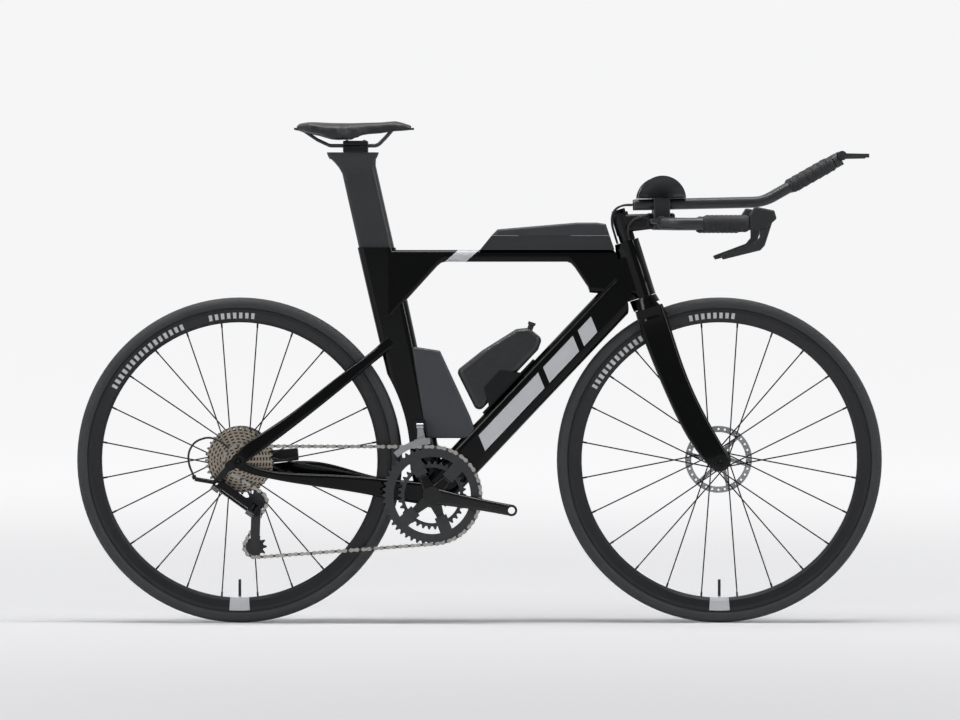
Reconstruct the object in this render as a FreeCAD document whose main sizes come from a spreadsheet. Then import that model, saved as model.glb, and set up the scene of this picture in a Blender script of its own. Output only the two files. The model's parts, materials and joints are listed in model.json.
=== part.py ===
import FreeCAD, Part
import Sketcher
import math
import os
from FreeCAD import Placement, Rotation, Vector

# Time trial bike in millimetres: X forward, Y to the rider's left, Z up from the ground.
# The origin is on the ground, midway between the two tyre contacts, in the wheel plane.

doc = FreeCAD.newDocument("TimeTrialBike")
sheet = doc.addObject("Spreadsheet::Sheet", "Dims")

# Driving dimensions
sizes = [
    # Wheels and tyres, 700 x 28c
    ("wheelbase", 1000), ("tyre_radius", 339), ("tyre_width", 28), ("tyre_wall", 2.2),
    ("rim_outer_radius", 315), ("rim_inner_radius", 287), ("rim_width", 26), ("rim_nose_width", 12),
    ("rim_wall", 2), ("rim_well_depth", 7), ("spoke_count", 24), ("spoke_radius", 1.4),
    ("nipple_radius", 2), ("nipple_length", 11), ("valve_radius", 3), ("valve_length", 38),
    # Hubs, axles, brake discs and calipers
    ("axle_radius", 6), ("axle_fit", 0.03), ("bearing_outer_radius", 13), ("bearing_width", 7),
    ("hub_shell_radius", 16), ("flange_radius", 23), ("flange_width", 4), ("cap_radius", 9.5),
    ("front_hub_width", 100), ("front_flange_spacing", 52), ("rear_hub_width", 142),
    ("rear_left_flange", 32), ("rear_right_flange", 16), ("rotor_radius", 70), ("rotor_track", 13),
    ("rotor_thickness", 1.8), ("rotor_carrier_radius", 26), ("rotor_arm_width", 9),
    ("rotor_hole_radius", 2.2), ("rotor_holes", 30), ("rotor_arms", 6),
    ("front_rotor_offset", 39.5), ("rear_rotor_offset", 55.5), ("cap_width", 8), ("freehub_cap", 5),
    ("axle_head", 5), ("axle_head_radius", 9), ("caliper_length", 66), ("caliper_height", 26),
    ("caliper_width", 24), ("pad_plate", 3), ("pad_gap", 0.5), ("caliper_inner_radius", 55),
    # Cassette, chain, rings and pulleys, half-inch pitch
    ("chain_pitch", 12.7), ("chain_line", 48.5), ("big_ring_teeth", 50), ("small_ring_teeth", 34),
    ("ring_thickness", 2), ("ring_gap", 7.5), ("working_cog_teeth", 15), ("cog_thickness", 1.6),
    ("cog_spacing", 3.65), ("pulley_teeth", 11), ("pulley_thickness", 1.8), ("roller_radius", 3.9),
    ("link_height", 7.6), ("link_thickness", 1.2), ("link_gap", 2.6), ("pin_radius", 1.8),
    ("ring_bolt_radius", 4.5), ("freehub_radius", 17), ("tooth_height", 2.6), ("cog_window_min", 9),
    ("cog_windows", 8), ("lockring_width", 2.4), ("ring_bore_radius", 47), ("ring_shank_radius", 4),
    ("pulley_bolt_radius", 3), ("big_ring_band", 21), ("small_ring_band", 11),
    ("ring_tab_width", 26), ("ring_tab_lap", 2),
    # Cranks and bottom bracket
    ("crank_length", 167.5), ("crank_drop_angle", 10.4), ("crank_arm_width", 26),
    ("crank_arm_thickness", 14), ("crank_boss_radius", 19), ("crank_outer_face", 73),
    ("pedal_bore_radius", 7.14), ("boss_lip", 1.2), ("spindle_radius", 12), ("spindle_fit", 0.03),
    ("bb_shell_radius", 23), ("bb_shell_width", 86), ("bb_bearing_width", 9), ("bb_lip", 1.5),
    ("bolt_circle_radius", 55), ("spider_arm_width", 17), ("crank_arm_root", 36),
    ("crank_arm_tip", 24), ("crank_arm_inset", 6), ("spider_near_angle", 58),
    ("spider_far_angle", 127), ("bb_gap", 1), ("bb_bearing_radius", 20.5),
    # Rear derailleur and its hanger
    ("guide_ahead", 36.3), ("guide_below", 85.1), ("tension_ahead", 33.1), ("tension_below", 178.2),
    ("link_rear_behind", 38.8), ("link_rear_below", 49.6), ("link_front_ahead", 27.9),
    ("link_front_below", 97.5), ("swing_slant", 25), ("swing_middle", 81), ("swing_spread", 18),
    ("swing_height", 16), ("swing_link", 6), ("barrel_behind", 92), ("barrel_off", 90),
    ("barrel_below", 29), ("barrel_radius", 4.5), ("swing_pin", 2), ("swing_fit", 0.05),
    ("lug_thickness", 4), ("lug_reach", 6), ("cage_pivot_radius", 4), ("cage_plate", 1.6),
    ("cage_gap", 8.4), ("cage_width", 19), ("hanger_behind", 16.9), ("hanger_below", 9.8),
    ("hanger_thickness", 4), ("hanger_bolt_radius", 10), ("knuckle_width", 12),
    ("rd_boss_radius", 11), ("cage_reach", 9),
    # Front derailleur
    ("fd_plate", 1.4), ("fd_gap", 9), ("fd_clearance", 3), ("fd_height", 13),
    ("fd_start_angle", 92), ("fd_end_angle", 132), ("fd_pivot_radius", 3),
    # Frame
    ("chainstay_length", 408), ("bb_drop", 72), ("head_angle", 72.5), ("head_tube_length", 121),
    ("head_tube_radius", 23), ("head_tube_rear", 34), ("head_cover_height", 30),
    ("seat_angle", 77.3), ("seat_tube_width", 36), ("seat_tube_depth", 80),
    ("seat_tube_height", 782), ("tyre_gap", 17), ("top_tube_depth", 25), ("top_tube_width", 38),
    ("top_tube_height", 777), ("down_tube_depth", 75), ("down_tube_width", 50), ("stay_width", 14),
    ("stay_tyre_gap", 8), ("chainstay_front_depth", 39), ("chainstay_rear_depth", 18),
    ("seatstay_upper_depth", 23), ("seatstay_lower_depth", 30), ("seatstay_height", 590),
    ("dropout_thickness", 9), ("dropout_radius", 15), ("down_tube_head_back", 58),
    ("down_tube_head_up", 12), ("tube_corner", 11), ("bb_barrel_radius", 26),
    ("chainstay_rear_gap", 71), ("caliper_land", 18), ("gusset_front_start", 155),
    ("gusset_front_run", 35), ("gusset_front_drop", 52), ("gusset_head_drop", 72),
    ("gusset_rear_start", 88), ("gusset_rear_run", 110), ("gusset_rear_drop", 121),
    ("gusset_round", 8), ("cover_room", 2),
    # Headset and fork
    ("fork_offset", 45), ("fork_length", 371), ("steerer_radius", 14.3), ("fork_tip_thickness", 10),
    ("crown_gap", 1), ("head_bearing_radius", 20.9), ("head_bearing_height", 7),
    ("head_bore_fit", 1.2), ("crown_depth", 48), ("crown_width", 76), ("crown_sweep", 46),
    ("fork_leg_width", 15), ("fork_leg_depth", 58), ("fork_tip_depth", 46), ("fork_tip_radius", 13),
    ("fork_slot_width", 44), ("steerer_above", 68), ("steerer_wall", 2), ("fork_tip_gap", 50),
    # Seat post and saddle
    ("post_depth", 72), ("post_width", 25), ("post_tail_width", 14), ("post_fit", 0.3),
    ("post_insertion", 170), ("saddle_height", 1047), ("saddle_length", 249), ("saddle_width", 132),
    ("saddle_nose_width", 46), ("saddle_nose_x", -136.5), ("rail_radius", 3.5),
    ("rail_spacing", 44), ("post_travel_down", 40), ("post_head_back", 8), ("post_overlap", 4),
    ("post_head_length", 108), ("post_head_width", 40), ("post_head_thickness", 14),
    ("post_head_height", 966), ("clamp_length", 52), ("clamp_width", 58), ("clamp_height", 24),
    ("rail_fit", 0.05), ("shell_thickness", 4), ("saddle_arch", 31), ("saddle_edge", 1003),
    # Boxes and bottle
    ("top_box_width", 44), ("top_box_length", 280), ("top_box_height", 30), ("top_lid_height", 27),
    ("frame_box_width", 44), ("bottle_width", 48), ("bottle_round", 12), ("cage_wall", 2.5),
    ("cage_grip", 34), ("top_box_wall", 3), ("top_box_round", 6), ("frame_box_round", 5),
    ("bottle_seat", 47), ("cap_start", 352), ("valve_cap_radius", 6), ("cage_base", 4),
    ("hinge_rear", 80), ("hinge_length", 110), ("hinge_radius", 2),
    # Stem, base bar, hoods and brake levers
    ("spacer_height", 16), ("spacer_radius", 16.5), ("stem_clamp_radius", 18),
    ("stem_clamp_height", 44), ("bar_ahead", 69), ("bar_up", 41), ("wing_chord", 50),
    ("wing_thickness", 18), ("bar_half_width", 198), ("bar_tube_radius", 12), ("bar_bend", 45),
    ("bar_reach", 175), ("bar_drop", 6), ("tape_start", 80), ("tape_thickness", 4),
    ("hood_width", 26), ("lever_thickness", 9), ("lever_gap", 0.5), ("lever_pin_radius", 2.5),
    ("hood_reach", 56),
    # Extensions, elbow cups and shifters
    ("extension_radius", 11.1), ("extension_spacing", 116), ("extension_rise", 34),
    ("extension_back", 57), ("extension_straight", 269), ("extension_tilt", 29.5),
    ("extension_tip", 167), ("extension_bend", 90), ("grip_length", 105), ("cup_radius", 48),
    ("cup_wall", 3.5), ("cup_height", 52), ("cup_edge", 6), ("pad_inset", 6), ("cup_length", 100),
    ("cup_spacing", 144), ("cup_rise", 95.5), ("arm_pad_thickness", 9), ("riser_length", 34),
    ("riser_width", 34), ("shift_body_radius", 14), ("shift_pivot_radius", 10),
    ("shift_lever_length", 56), ("shift_lever_width", 10), ("shift_lever_thickness", 6),
    # Cables and running clearances
    ("seat_gap", 0.3), ("hose_radius", 2.5), ("housing_radius", 2.2), ("clearance", 0.4),
]
for row, (name, value) in enumerate(sizes, start=1):
    sheet.set("A%d" % row, name)
    sheet.set("B%d" % row, str(value))
    sheet.setAlias("B%d" % row, name)
doc.recompute()

nodes = {}


def dim(name):
    return float(sheet.get(name))


def number(text):
    return float(sheet.evalExpression(text.replace("Dims.", "")))


# Places worked out from the driving dimensions
HALF_BASE = dim("wheelbase") / 2
AXLE_Z = dim("tyre_radius")
REAR_AXLE = Vector(-HALF_BASE, 0, AXLE_Z)
FRONT_AXLE = Vector(HALF_BASE, 0, AXLE_Z)
BB_X = -HALF_BASE + math.sqrt(dim("chainstay_length") ** 2 - dim("bb_drop") ** 2)
BB_CENTRE = Vector(BB_X, 0, AXLE_Z - dim("bb_drop"))
REAR_X = "-Dims.wheelbase / 2"
FRONT_X = "Dims.wheelbase / 2"
AXLE_HEIGHT = "Dims.tyre_radius"
BB_X_TEXT = REAR_X + " + sqrt(Dims.chainstay_length ^ 2 - Dims.bb_drop ^ 2)"
BB_Z_TEXT = "Dims.tyre_radius - Dims.bb_drop"


def keep(label, obj):
    obj.Label = label
    nodes[label] = obj
    return obj


def move_to(obj, x="0", y="0", z="0"):
    for axis, text in zip("xyz", (x, y, z)):
        obj.setExpression("Placement.Base." + axis, text)


def new_body(name):
    return doc.addObject("PartDesign::Body", name)


def origin_feature(body, role):
    return next(item for item in body.Origin.OriginFeatures if item.Role == role)


def new_sketch(body, role):
    sketch = body.newObject("Sketcher::SketchObject", "Sketch")
    sketch.AttachmentSupport = (origin_feature(body, role), "")
    sketch.MapMode = "FlatFace"
    return sketch


# A closed outline of straight sides, each corner held by two expressions
def add_polygon(sketch, corners):
    first = sketch.GeometryCount
    count = len(corners)
    points = [Vector(number(across), number(along), 0) for across, along in corners]
    for step in range(count):
        sketch.addGeometry(Part.LineSegment(points[step], points[(step + 1) % count]), False)
    for step in range(count):
        after = (step + 1) % count
        sketch.addConstraint(Sketcher.Constraint("Coincident", first + step, 2, first + after, 1))
    for step, (across, along) in enumerate(corners):
        for kind, text in (("DistanceX", across), ("DistanceY", along)):
            held = sketch.addConstraint(Sketcher.Constraint(kind, first + step, 1, number(text)))
            sketch.setExpression("Constraints[%d]" % held, text)


def add_circle(sketch, across, along, radius):
    centre = Vector(number(across), number(along), 0)
    index = sketch.addGeometry(Part.Circle(centre, Vector(0, 0, 1), number(radius)), False)
    held = sketch.addConstraint(Sketcher.Constraint("Radius", index, number(radius)))
    sketch.setExpression("Constraints[%d]" % held, radius)
    for kind, text in (("DistanceX", across), ("DistanceY", along)):
        held = sketch.addConstraint(Sketcher.Constraint(kind, index, 3, number(text)))
        sketch.setExpression("Constraints[%d]" % held, text)


# A turned piece about an axis along Y: corners are (radius, place along Y)
def turned(name, corners):
    body = new_body(name)
    sketch = new_sketch(body, "XY_Plane")
    add_polygon(sketch, corners)
    turn = body.newObject("PartDesign::Revolution", "Turn")
    turn.Profile = sketch
    turn.ReferenceAxis = (sketch, ["V_Axis"])
    turn.Angle = 360
    return body


# A flat piece in the XZ plane, padded evenly to both sides of its own plane
def flat_pad(body, thickness, corners=(), circles=()):
    sketch = new_sketch(body, "XZ_Plane")
    if corners:
        add_polygon(sketch, corners)
    for circle in circles:
        add_circle(sketch, *circle)
    pad = body.newObject("PartDesign::Pad", "Pad")
    pad.Profile = sketch
    pad.SideType = "Symmetric"
    pad.setExpression("Length", thickness)
    return pad


def flat_pocket(body, circles):
    sketch = new_sketch(body, "XZ_Plane")
    for circle in circles:
        add_circle(sketch, *circle)
    pocket = body.newObject("PartDesign::Pocket", "Pocket")
    pocket.Profile = sketch
    pocket.SideType = "Symmetric"
    pocket.Type = "ThroughAll"
    return pocket


def repeat_round(body, feature, count):
    pattern = body.newObject("PartDesign::PolarPattern", "Round")
    pattern.Originals = [feature]
    pattern.Axis = (origin_feature(body, "Y_Axis"), [""])
    pattern.Angle = 360
    pattern.setExpression("Occurrences", count)
    body.Tip = pattern
    return pattern


def group(label, members):
    joined = doc.addObject("Part::Compound", label)
    joined.Links = members
    return keep(label, joined)


def shaped(label, shape):
    feature = doc.addObject("Part::Feature", label)
    feature.Shape = shape
    return keep(label, feature)


def rod(start, end, radius):
    return Part.makeCylinder(radius, (end - start).Length, start, end - start)


# Front and rear wheels: rim, tyre, laced spokes, hub shell and brake disc
def build_wheel(end, axle_x, left_flange, right_flange, left_end, right_end, rotor_offset):
    rim = turned(end + "_rim_ring", [
        ("Dims.rim_inner_radius", "-Dims.rim_nose_width / 2"),
        ("Dims.rim_inner_radius + Dims.rim_wall * 3", "-Dims.rim_width / 2 + Dims.rim_wall"),
        ("Dims.rim_outer_radius - Dims.rim_well_depth", "-Dims.rim_width / 2"),
        ("Dims.rim_outer_radius", "-Dims.rim_width / 2"),
        ("Dims.rim_outer_radius", "-Dims.rim_width / 2 + Dims.rim_wall"),
        ("Dims.rim_outer_radius - Dims.rim_well_depth", "-Dims.rim_width / 2 + Dims.rim_wall"),
        ("Dims.rim_outer_radius - Dims.rim_well_depth", "Dims.rim_width / 2 - Dims.rim_wall"),
        ("Dims.rim_outer_radius", "Dims.rim_width / 2 - Dims.rim_wall"),
        ("Dims.rim_outer_radius", "Dims.rim_width / 2"),
        ("Dims.rim_outer_radius - Dims.rim_well_depth", "Dims.rim_width / 2"),
        ("Dims.rim_inner_radius + Dims.rim_wall * 3", "Dims.rim_width / 2 - Dims.rim_wall"),
        ("Dims.rim_inner_radius", "Dims.rim_nose_width / 2"),
    ])
    move_to(rim, axle_x, "0", AXLE_HEIGHT)

    crown = doc.addObject("Part::Torus", end + "_tyre_crown")
    crown.setExpression("Radius1", "Dims.tyre_radius - Dims.tyre_width / 2")
    crown.setExpression("Radius2", "Dims.tyre_width / 2")
    hollow = doc.addObject("Part::Torus", end + "_tyre_hollow")
    hollow.setExpression("Radius1", "Dims.tyre_radius - Dims.tyre_width / 2")
    hollow.setExpression("Radius2", "Dims.tyre_width / 2 - Dims.tyre_wall")
    bed = doc.addObject("Part::Cylinder", end + "_tyre_bed")
    bed.setExpression("Radius", "Dims.rim_outer_radius")
    bed.setExpression("Height", "Dims.tyre_width * 2")
    bed.setExpression("Placement.Base.z", "-Dims.tyre_width")
    inside = doc.addObject("Part::Fuse", end + "_tyre_inside")
    inside.Base = hollow
    inside.Tool = bed
    tyre = doc.addObject("Part::Cut", end + "_tyre_casing")
    tyre.Base = crown
    tyre.Tool = inside
    tyre.Placement = Placement(Vector(), Rotation(Vector(1, 0, 0), 90))
    move_to(tyre, axle_x, "0", AXLE_HEIGHT)
    keep(end + "_tyre", tyre)

    shell = turned(end + "_hub_shell", hub_profile(left_flange, right_flange, left_end, right_end))
    bearings = []
    for side, face in (("left", left_end + " - Dims.bearing_width"), ("right", right_end)):
        bearing = turned(end + "_bearing_" + side, [
            ("Dims.axle_radius + Dims.axle_fit", "0"),
            ("Dims.bearing_outer_radius", "0"),
            ("Dims.bearing_outer_radius", "Dims.bearing_width"),
            ("Dims.axle_radius + Dims.axle_fit", "Dims.bearing_width"),
        ])
        move_to(bearing, axle_x, face, AXLE_HEIGHT)
        bearings.append(bearing)
    move_to(shell, axle_x, "0", AXLE_HEIGHT)
    group(end + "_hub", [shell] + bearings)

    valve = doc.addObject("Part::Cylinder", end + "_valve")
    valve.setExpression("Radius", "Dims.valve_radius")
    valve.setExpression("Height", "Dims.valve_length")
    move_to(valve, axle_x, "0", "Dims.tyre_radius - Dims.rim_inner_radius")
    group(end + "_rim", [rim, valve])

    spokes = laced_spokes(number(left_flange), number(right_flange))
    spokes.translate(Vector(number(axle_x), 0, AXLE_Z))
    shaped(end + "_spokes", spokes)
    build_rotor(end, axle_x, rotor_offset)


def hub_profile(left_flange, right_flange, left_end, right_end):
    half = "Dims.flange_width / 2"
    return [
        ("Dims.bearing_outer_radius", right_end),
        ("Dims.hub_shell_radius", right_end),
        ("Dims.hub_shell_radius", "-(%s) - %s - 1" % (right_flange, half)),
        ("Dims.flange_radius", "-(%s) - %s" % (right_flange, half)),
        ("Dims.flange_radius", "-(%s) + %s" % (right_flange, half)),
        ("Dims.hub_shell_radius", "-(%s) + %s + Dims.flange_width" % (right_flange, half)),
        ("Dims.hub_shell_radius", "%s - %s - Dims.flange_width" % (left_flange, half)),
        ("Dims.flange_radius", "%s - %s" % (left_flange, half)),
        ("Dims.flange_radius", "%s + %s" % (left_flange, half)),
        ("Dims.hub_shell_radius", "%s + %s + 1" % (left_flange, half)),
        ("Dims.hub_shell_radius", left_end),
        ("Dims.bearing_outer_radius", left_end),
    ]


# Two-cross lacing: each spoke hooks through a flange and ends in a nipple at the rim nose
def laced_spokes(left_flange, right_flange):
    count = int(dim("spoke_count"))
    radius = dim("spoke_radius")
    hole_radius = dim("flange_radius") - 2.5 * radius
    beside = dim("flange_width") / 2 + radius
    cross_angle = 2 * 720.0 / count
    repeat = 4
    solids = []
    for step in range(repeat):
        side = left_flange if step % 2 == 0 else -right_flange
        lead = 1 if (step // 2) % 2 == 0 else -1
        rim_angle = math.radians(-90 + (step + 0.5) * 360.0 / count)
        hub_angle = rim_angle + lead * math.radians(cross_angle)
        outward = Vector(math.cos(rim_angle), 0, math.sin(rim_angle))
        hole = Vector(math.cos(hub_angle), 0, math.sin(hub_angle)) * hole_radius
        start = hole + Vector(0, side + lead * beside, 0)
        seat = outward * (dim("rim_inner_radius") + 2)
        run = (seat - start).normalize()
        nipple = rod(seat - run * dim("nipple_length"), seat, dim("nipple_radius"))
        hook = rod(hole + Vector(0, side - lead * beside, 0), start, radius)
        spoke = rod(start - run * radius, seat - run * 2, radius)
        solids.append(spoke.multiFuse([nipple, hook]).removeSplitter())
    laced = []
    for turn in range(count // repeat):
        for solid in solids:
            copy = solid.copy()
            copy.rotate(Vector(), Vector(0, -1, 0), turn * repeat * 360.0 / count)
            laced.append(copy)
    return Part.makeCompound(laced)


# Brake disc: a drilled steel track riveted to the arms of a splined carrier
def build_rotor(end, axle_x, rotor_offset):
    track = new_body(end + "_rotor_track")
    flat_pad(track, "Dims.rotor_thickness", circles=[
        ("0", "0", "Dims.rotor_radius"),
        ("0", "0", "Dims.rotor_radius - Dims.rotor_track"),
    ])
    hole = flat_pocket(track, [
        ("0", "Dims.rotor_radius - Dims.rotor_track / 2", "Dims.rotor_hole_radius"),
    ])
    repeat_round(track, hole, "Dims.rotor_holes")
    move_to(track, axle_x, rotor_offset, AXLE_HEIGHT)

    carrier = new_body(end + "_rotor_carrier")
    flat_pad(carrier, "Dims.rotor_thickness * 2", circles=[
        ("0", "0", "Dims.rotor_carrier_radius"),
        ("0", "0", "Dims.hub_shell_radius"),
    ])
    arm = flat_pad(carrier, "Dims.rotor_thickness", corners=[
        ("Dims.rotor_carrier_radius - 3", "-Dims.rotor_arm_width / 2"),
        ("Dims.rotor_radius - Dims.rotor_track", "-Dims.rotor_arm_width * 1.6"),
        ("Dims.rotor_radius - Dims.rotor_track", "-Dims.rotor_arm_width * 0.9"),
        ("Dims.rotor_carrier_radius - 3", "Dims.rotor_arm_width / 2"),
    ])
    repeat_round(carrier, arm, "Dims.rotor_arms")
    move_to(carrier, axle_x, rotor_offset, AXLE_HEIGHT)
    group(end + "_rotor", [track, carrier])


build_wheel("front", FRONT_X, "Dims.front_flange_spacing / 2", "Dims.front_flange_spacing / 2",
            "Dims.front_hub_width / 2 - Dims.cap_width", "-Dims.front_hub_width / 2 + Dims.cap_width",
            "Dims.front_rotor_offset")
build_wheel("rear", REAR_X, "Dims.rear_left_flange", "Dims.rear_right_flange",
            "Dims.rear_hub_width / 2 - Dims.cap_width",
            "-Dims.rear_right_flange - Dims.flange_width", "Dims.rear_rotor_offset")


# Thru axle with its two end caps: the caps stand between the hub bearings and the dropouts
def build_axle(end, axle_x, hub_width, dropout, left_cap, right_cap):
    half = hub_width + " / 2"
    reach = "%s + %s" % (half, dropout)
    shaft = turned(end + "_axle_shaft", [
        ("0", "-(%s) - Dims.axle_head" % reach),
        ("Dims.axle_radius - 2", "-(%s) - Dims.axle_head" % reach),
        ("Dims.axle_radius", "-(%s)" % reach),
        ("Dims.axle_radius", reach),
        ("Dims.axle_head_radius", reach),
        ("Dims.axle_head_radius", "%s + Dims.axle_head" % reach),
        ("0", "%s + Dims.axle_head" % reach),
    ])
    move_to(shaft, axle_x, "0", AXLE_HEIGHT)
    members = [shaft]
    for side, inner, outer in (("left", left_cap, half), ("right", "-(%s)" % half, right_cap)):
        cap = turned(end + "_cap_" + side, [
            ("Dims.axle_radius", inner),
            ("Dims.cap_radius", inner),
            ("Dims.cap_radius", outer),
            ("Dims.axle_radius", outer),
        ])
        move_to(cap, axle_x, "0", AXLE_HEIGHT)
        members.append(cap)
    group(end + "_thru_axle", members)


build_axle("front", FRONT_X, "Dims.front_hub_width", "Dims.fork_tip_thickness",
           "Dims.front_hub_width / 2 - Dims.cap_width + Dims.clearance",
           "-Dims.front_hub_width / 2 + Dims.cap_width - Dims.clearance")
build_axle("rear", REAR_X, "Dims.rear_hub_width", "Dims.dropout_thickness",
           "Dims.rear_hub_width / 2 - Dims.cap_width + Dims.clearance",
           "-Dims.rear_hub_width / 2 + Dims.freehub_cap - Dims.clearance")


# Toothed wheels: straight-flanked teeth at half-inch pitch, worked out from the tooth count
def pitch_radius(teeth):
    return dim("chain_pitch") / (2 * math.sin(math.pi / teeth))


def toothed_disc(teeth, thickness, bore, middle_y):
    root = pitch_radius(teeth) - dim("roller_radius")
    tip = pitch_radius(teeth) + dim("tooth_height")
    points = []
    for tooth in range(int(teeth)):
        for share, radius in ((-0.36, root), (-0.11, tip), (0.11, tip), (0.36, root)):
            angle = 2 * math.pi * (tooth + share) / teeth
            points.append(Vector(radius * math.cos(angle), 0, radius * math.sin(angle)))
    outline = Part.makePolygon(points + [points[0]])
    hole = Part.Wire(Part.makeCircle(bore, Vector(), Vector(0, 1, 0)))
    disc = Part.Face(outline).extrude(Vector(0, thickness, 0))
    disc = disc.cut(Part.Face(hole).extrude(Vector(0, thickness, 0)))
    disc.translate(Vector(0, middle_y - thickness / 2, 0))
    return disc


# Cassette: twelve cogs on the splined freehub body, held by a lockring
COGS = (11, 12, 13, 14, 15, 17, 19, 21, 24, 27, 30, 34)
working = COGS.index(int(dim("working_cog_teeth")))
cog_solids = []
for place, teeth in enumerate(COGS):
    cog_y = -dim("chain_line") + (place - working) * dim("cog_spacing")
    cog = toothed_disc(teeth, dim("cog_thickness"), dim("freehub_radius"), cog_y)
    window = (pitch_radius(teeth) - dim("roller_radius") - dim("freehub_radius")) / 2
    if window > dim("cog_window_min"):
        ring = dim("freehub_radius") + window
        for step in range(int(dim("cog_windows"))):
            angle = 2 * math.pi * (step + 0.3 * place) / dim("cog_windows")
            middle = Vector(ring * math.cos(angle), cog_y - dim("cog_spacing") / 2, ring * math.sin(angle))
            cog = cog.cut(Part.makeCylinder(window * 0.62, dim("cog_spacing"), middle, Vector(0, 1, 0)))
    cog_solids.append(cog)
first_cog = -dim("chain_line") - working * dim("cog_spacing") - dim("cog_thickness") / 2
last_cog = -dim("chain_line") + (len(COGS) - 1 - working) * dim("cog_spacing") + dim("cog_thickness") / 2
freehub_left = -dim("rear_right_flange") - dim("flange_width") - dim("clearance")
freehub_right = -dim("rear_hub_width") / 2 + dim("freehub_cap")
bore_radius = dim("axle_radius") + dim("axle_fit")
freehub = Part.makeCylinder(dim("freehub_radius"), freehub_left - freehub_right,
                            Vector(0, freehub_right, 0), Vector(0, 1, 0))
freehub = freehub.cut(Part.makeCylinder(bore_radius, dim("rear_hub_width"),
                                        Vector(0, -dim("rear_hub_width"), 0), Vector(0, 1, 0)))
lockring = Part.makeCylinder(dim("freehub_radius") + 1.4, dim("lockring_width"),
                             Vector(0, first_cog - dim("lockring_width"), 0), Vector(0, 1, 0))
lockring = lockring.cut(Part.makeCylinder(dim("freehub_radius"), dim("rear_hub_width"),
                                          Vector(0, -dim("rear_hub_width"), 0), Vector(0, 1, 0)))
cassette = Part.makeCompound(cog_solids + [freehub, lockring])
cassette.translate(REAR_AXLE)
shaped("cassette", cassette)


# Cross-section of a streamlined member: a round nose and a round tail joined by straight flanks
def section(centre, chord_axis, width_axis, front, back, width, tail):
    nose_radius = width / 2
    tail_radius = tail / 2
    nose = centre + chord_axis * (front - nose_radius)
    end = centre - chord_axis * (back - tail_radius)
    slope = (tail_radius - nose_radius) / (nose - end).Length
    up = chord_axis * slope + width_axis * math.sqrt(1 - slope * slope)
    down = chord_axis * slope - width_axis * math.sqrt(1 - slope * slope)
    tip = nose + chord_axis * nose_radius
    rear = end - chord_axis * tail_radius

    def arc(middle, radius, first, last):
        bulge = (first + last).normalize()
        return Part.Arc(middle + first * radius, middle + bulge * radius, middle + last * radius).toShape()

    return Part.Wire([
        arc(nose, nose_radius, chord_axis, up),
        Part.makeLine(nose + up * nose_radius, end + up * tail_radius),
        arc(end, tail_radius, up, chord_axis * -1),
        arc(end, tail_radius, chord_axis * -1, down),
        Part.makeLine(end + down * tail_radius, nose + down * nose_radius),
        arc(nose, nose_radius, down, chord_axis),
    ])


def loft(wires, ruled=False):
    solid = Part.makeLoft(wires, True, ruled)
    if solid.Volume < 0:
        solid.reverse()
    return solid


def across(x, z, radius, start_y, end_y):
    return Part.makeCylinder(radius, abs(end_y - start_y), Vector(x, min(start_y, end_y), z),
                             Vector(0, 1, 0))


LEFTWARD = Vector(0, 1, 0)


# Bottom bracket bearings: a lipped cup ring pressed into each end of the shell
bb_rings = []
for side, name in ((1, "left"), (-1, "right")):
    ring = turned("bb_bearing_" + name, [
        ("Dims.spindle_radius + Dims.spindle_fit", "Dims.bb_shell_width / 2 - Dims.bb_bearing_width"),
        ("Dims.bb_bearing_radius", "Dims.bb_shell_width / 2 - Dims.bb_bearing_width"),
        ("Dims.bb_bearing_radius", "Dims.bb_shell_width / 2"),
        ("Dims.bb_shell_radius - 1", "Dims.bb_shell_width / 2"),
        ("Dims.bb_shell_radius - 1", "Dims.bb_shell_width / 2 + Dims.bb_lip"),
        ("Dims.spindle_radius + Dims.spindle_fit", "Dims.bb_shell_width / 2 + Dims.bb_lip"),
    ])
    if side < 0:
        ring.Placement = Placement(Vector(), Rotation(Vector(1, 0, 0), 180))
    move_to(ring, BB_X_TEXT, "0", BB_Z_TEXT)
    bb_rings.append(ring)
group("bb_bearings", bb_rings)

# Crank arms: forged arms on a through spindle, the right one carrying a four-armed spider
boss_inner = dim("bb_shell_width") / 2 + dim("bb_lip") + dim("bb_gap")
arm_middle = dim("crank_outer_face") - dim("crank_arm_thickness") / 2
boss_outer = arm_middle - dim("crank_arm_inset") + dim("crank_arm_thickness") / 2
BIG_RING_Y = -dim("chain_line")
SMALL_RING_Y = BIG_RING_Y + dim("ring_gap")
TAB_OUTER = BIG_RING_Y + dim("ring_thickness") / 2
TAB_INNER = SMALL_RING_Y - dim("ring_thickness") / 2


def crank_arm(side, angle):
    along = Vector(math.cos(angle), 0, math.sin(angle))
    upright = Vector(-math.sin(angle), 0, math.cos(angle))
    thickness = dim("crank_arm_thickness")
    stations = (
        (0, dim("crank_arm_root"), arm_middle - dim("crank_arm_inset")),
        (dim("crank_length") / 2, dim("crank_arm_width"), arm_middle - dim("crank_arm_inset") / 3),
        (dim("crank_length"), dim("crank_arm_tip"), arm_middle),
    )
    wires = []
    for reach, height, off in stations:
        middle = BB_CENTRE + along * reach + LEFTWARD * (side * off)
        wires.append(section(middle, upright, LEFTWARD, height / 2, height / 2, thickness, thickness))
    arm = loft(wires)
    pedal = BB_CENTRE + along * dim("crank_length")
    outer = side * dim("crank_outer_face")
    eye = across(pedal.x, pedal.z, dim("crank_arm_tip") / 2, outer, outer - side * thickness)
    boss = across(BB_X, BB_CENTRE.z, dim("crank_boss_radius"), side * boss_inner,
                  side * (boss_outer + dim("boss_lip")))
    bore = across(pedal.x, pedal.z, dim("pedal_bore_radius"), 0, outer * 2)
    return arm.fuse(eye).fuse(boss).cut(bore)


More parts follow.
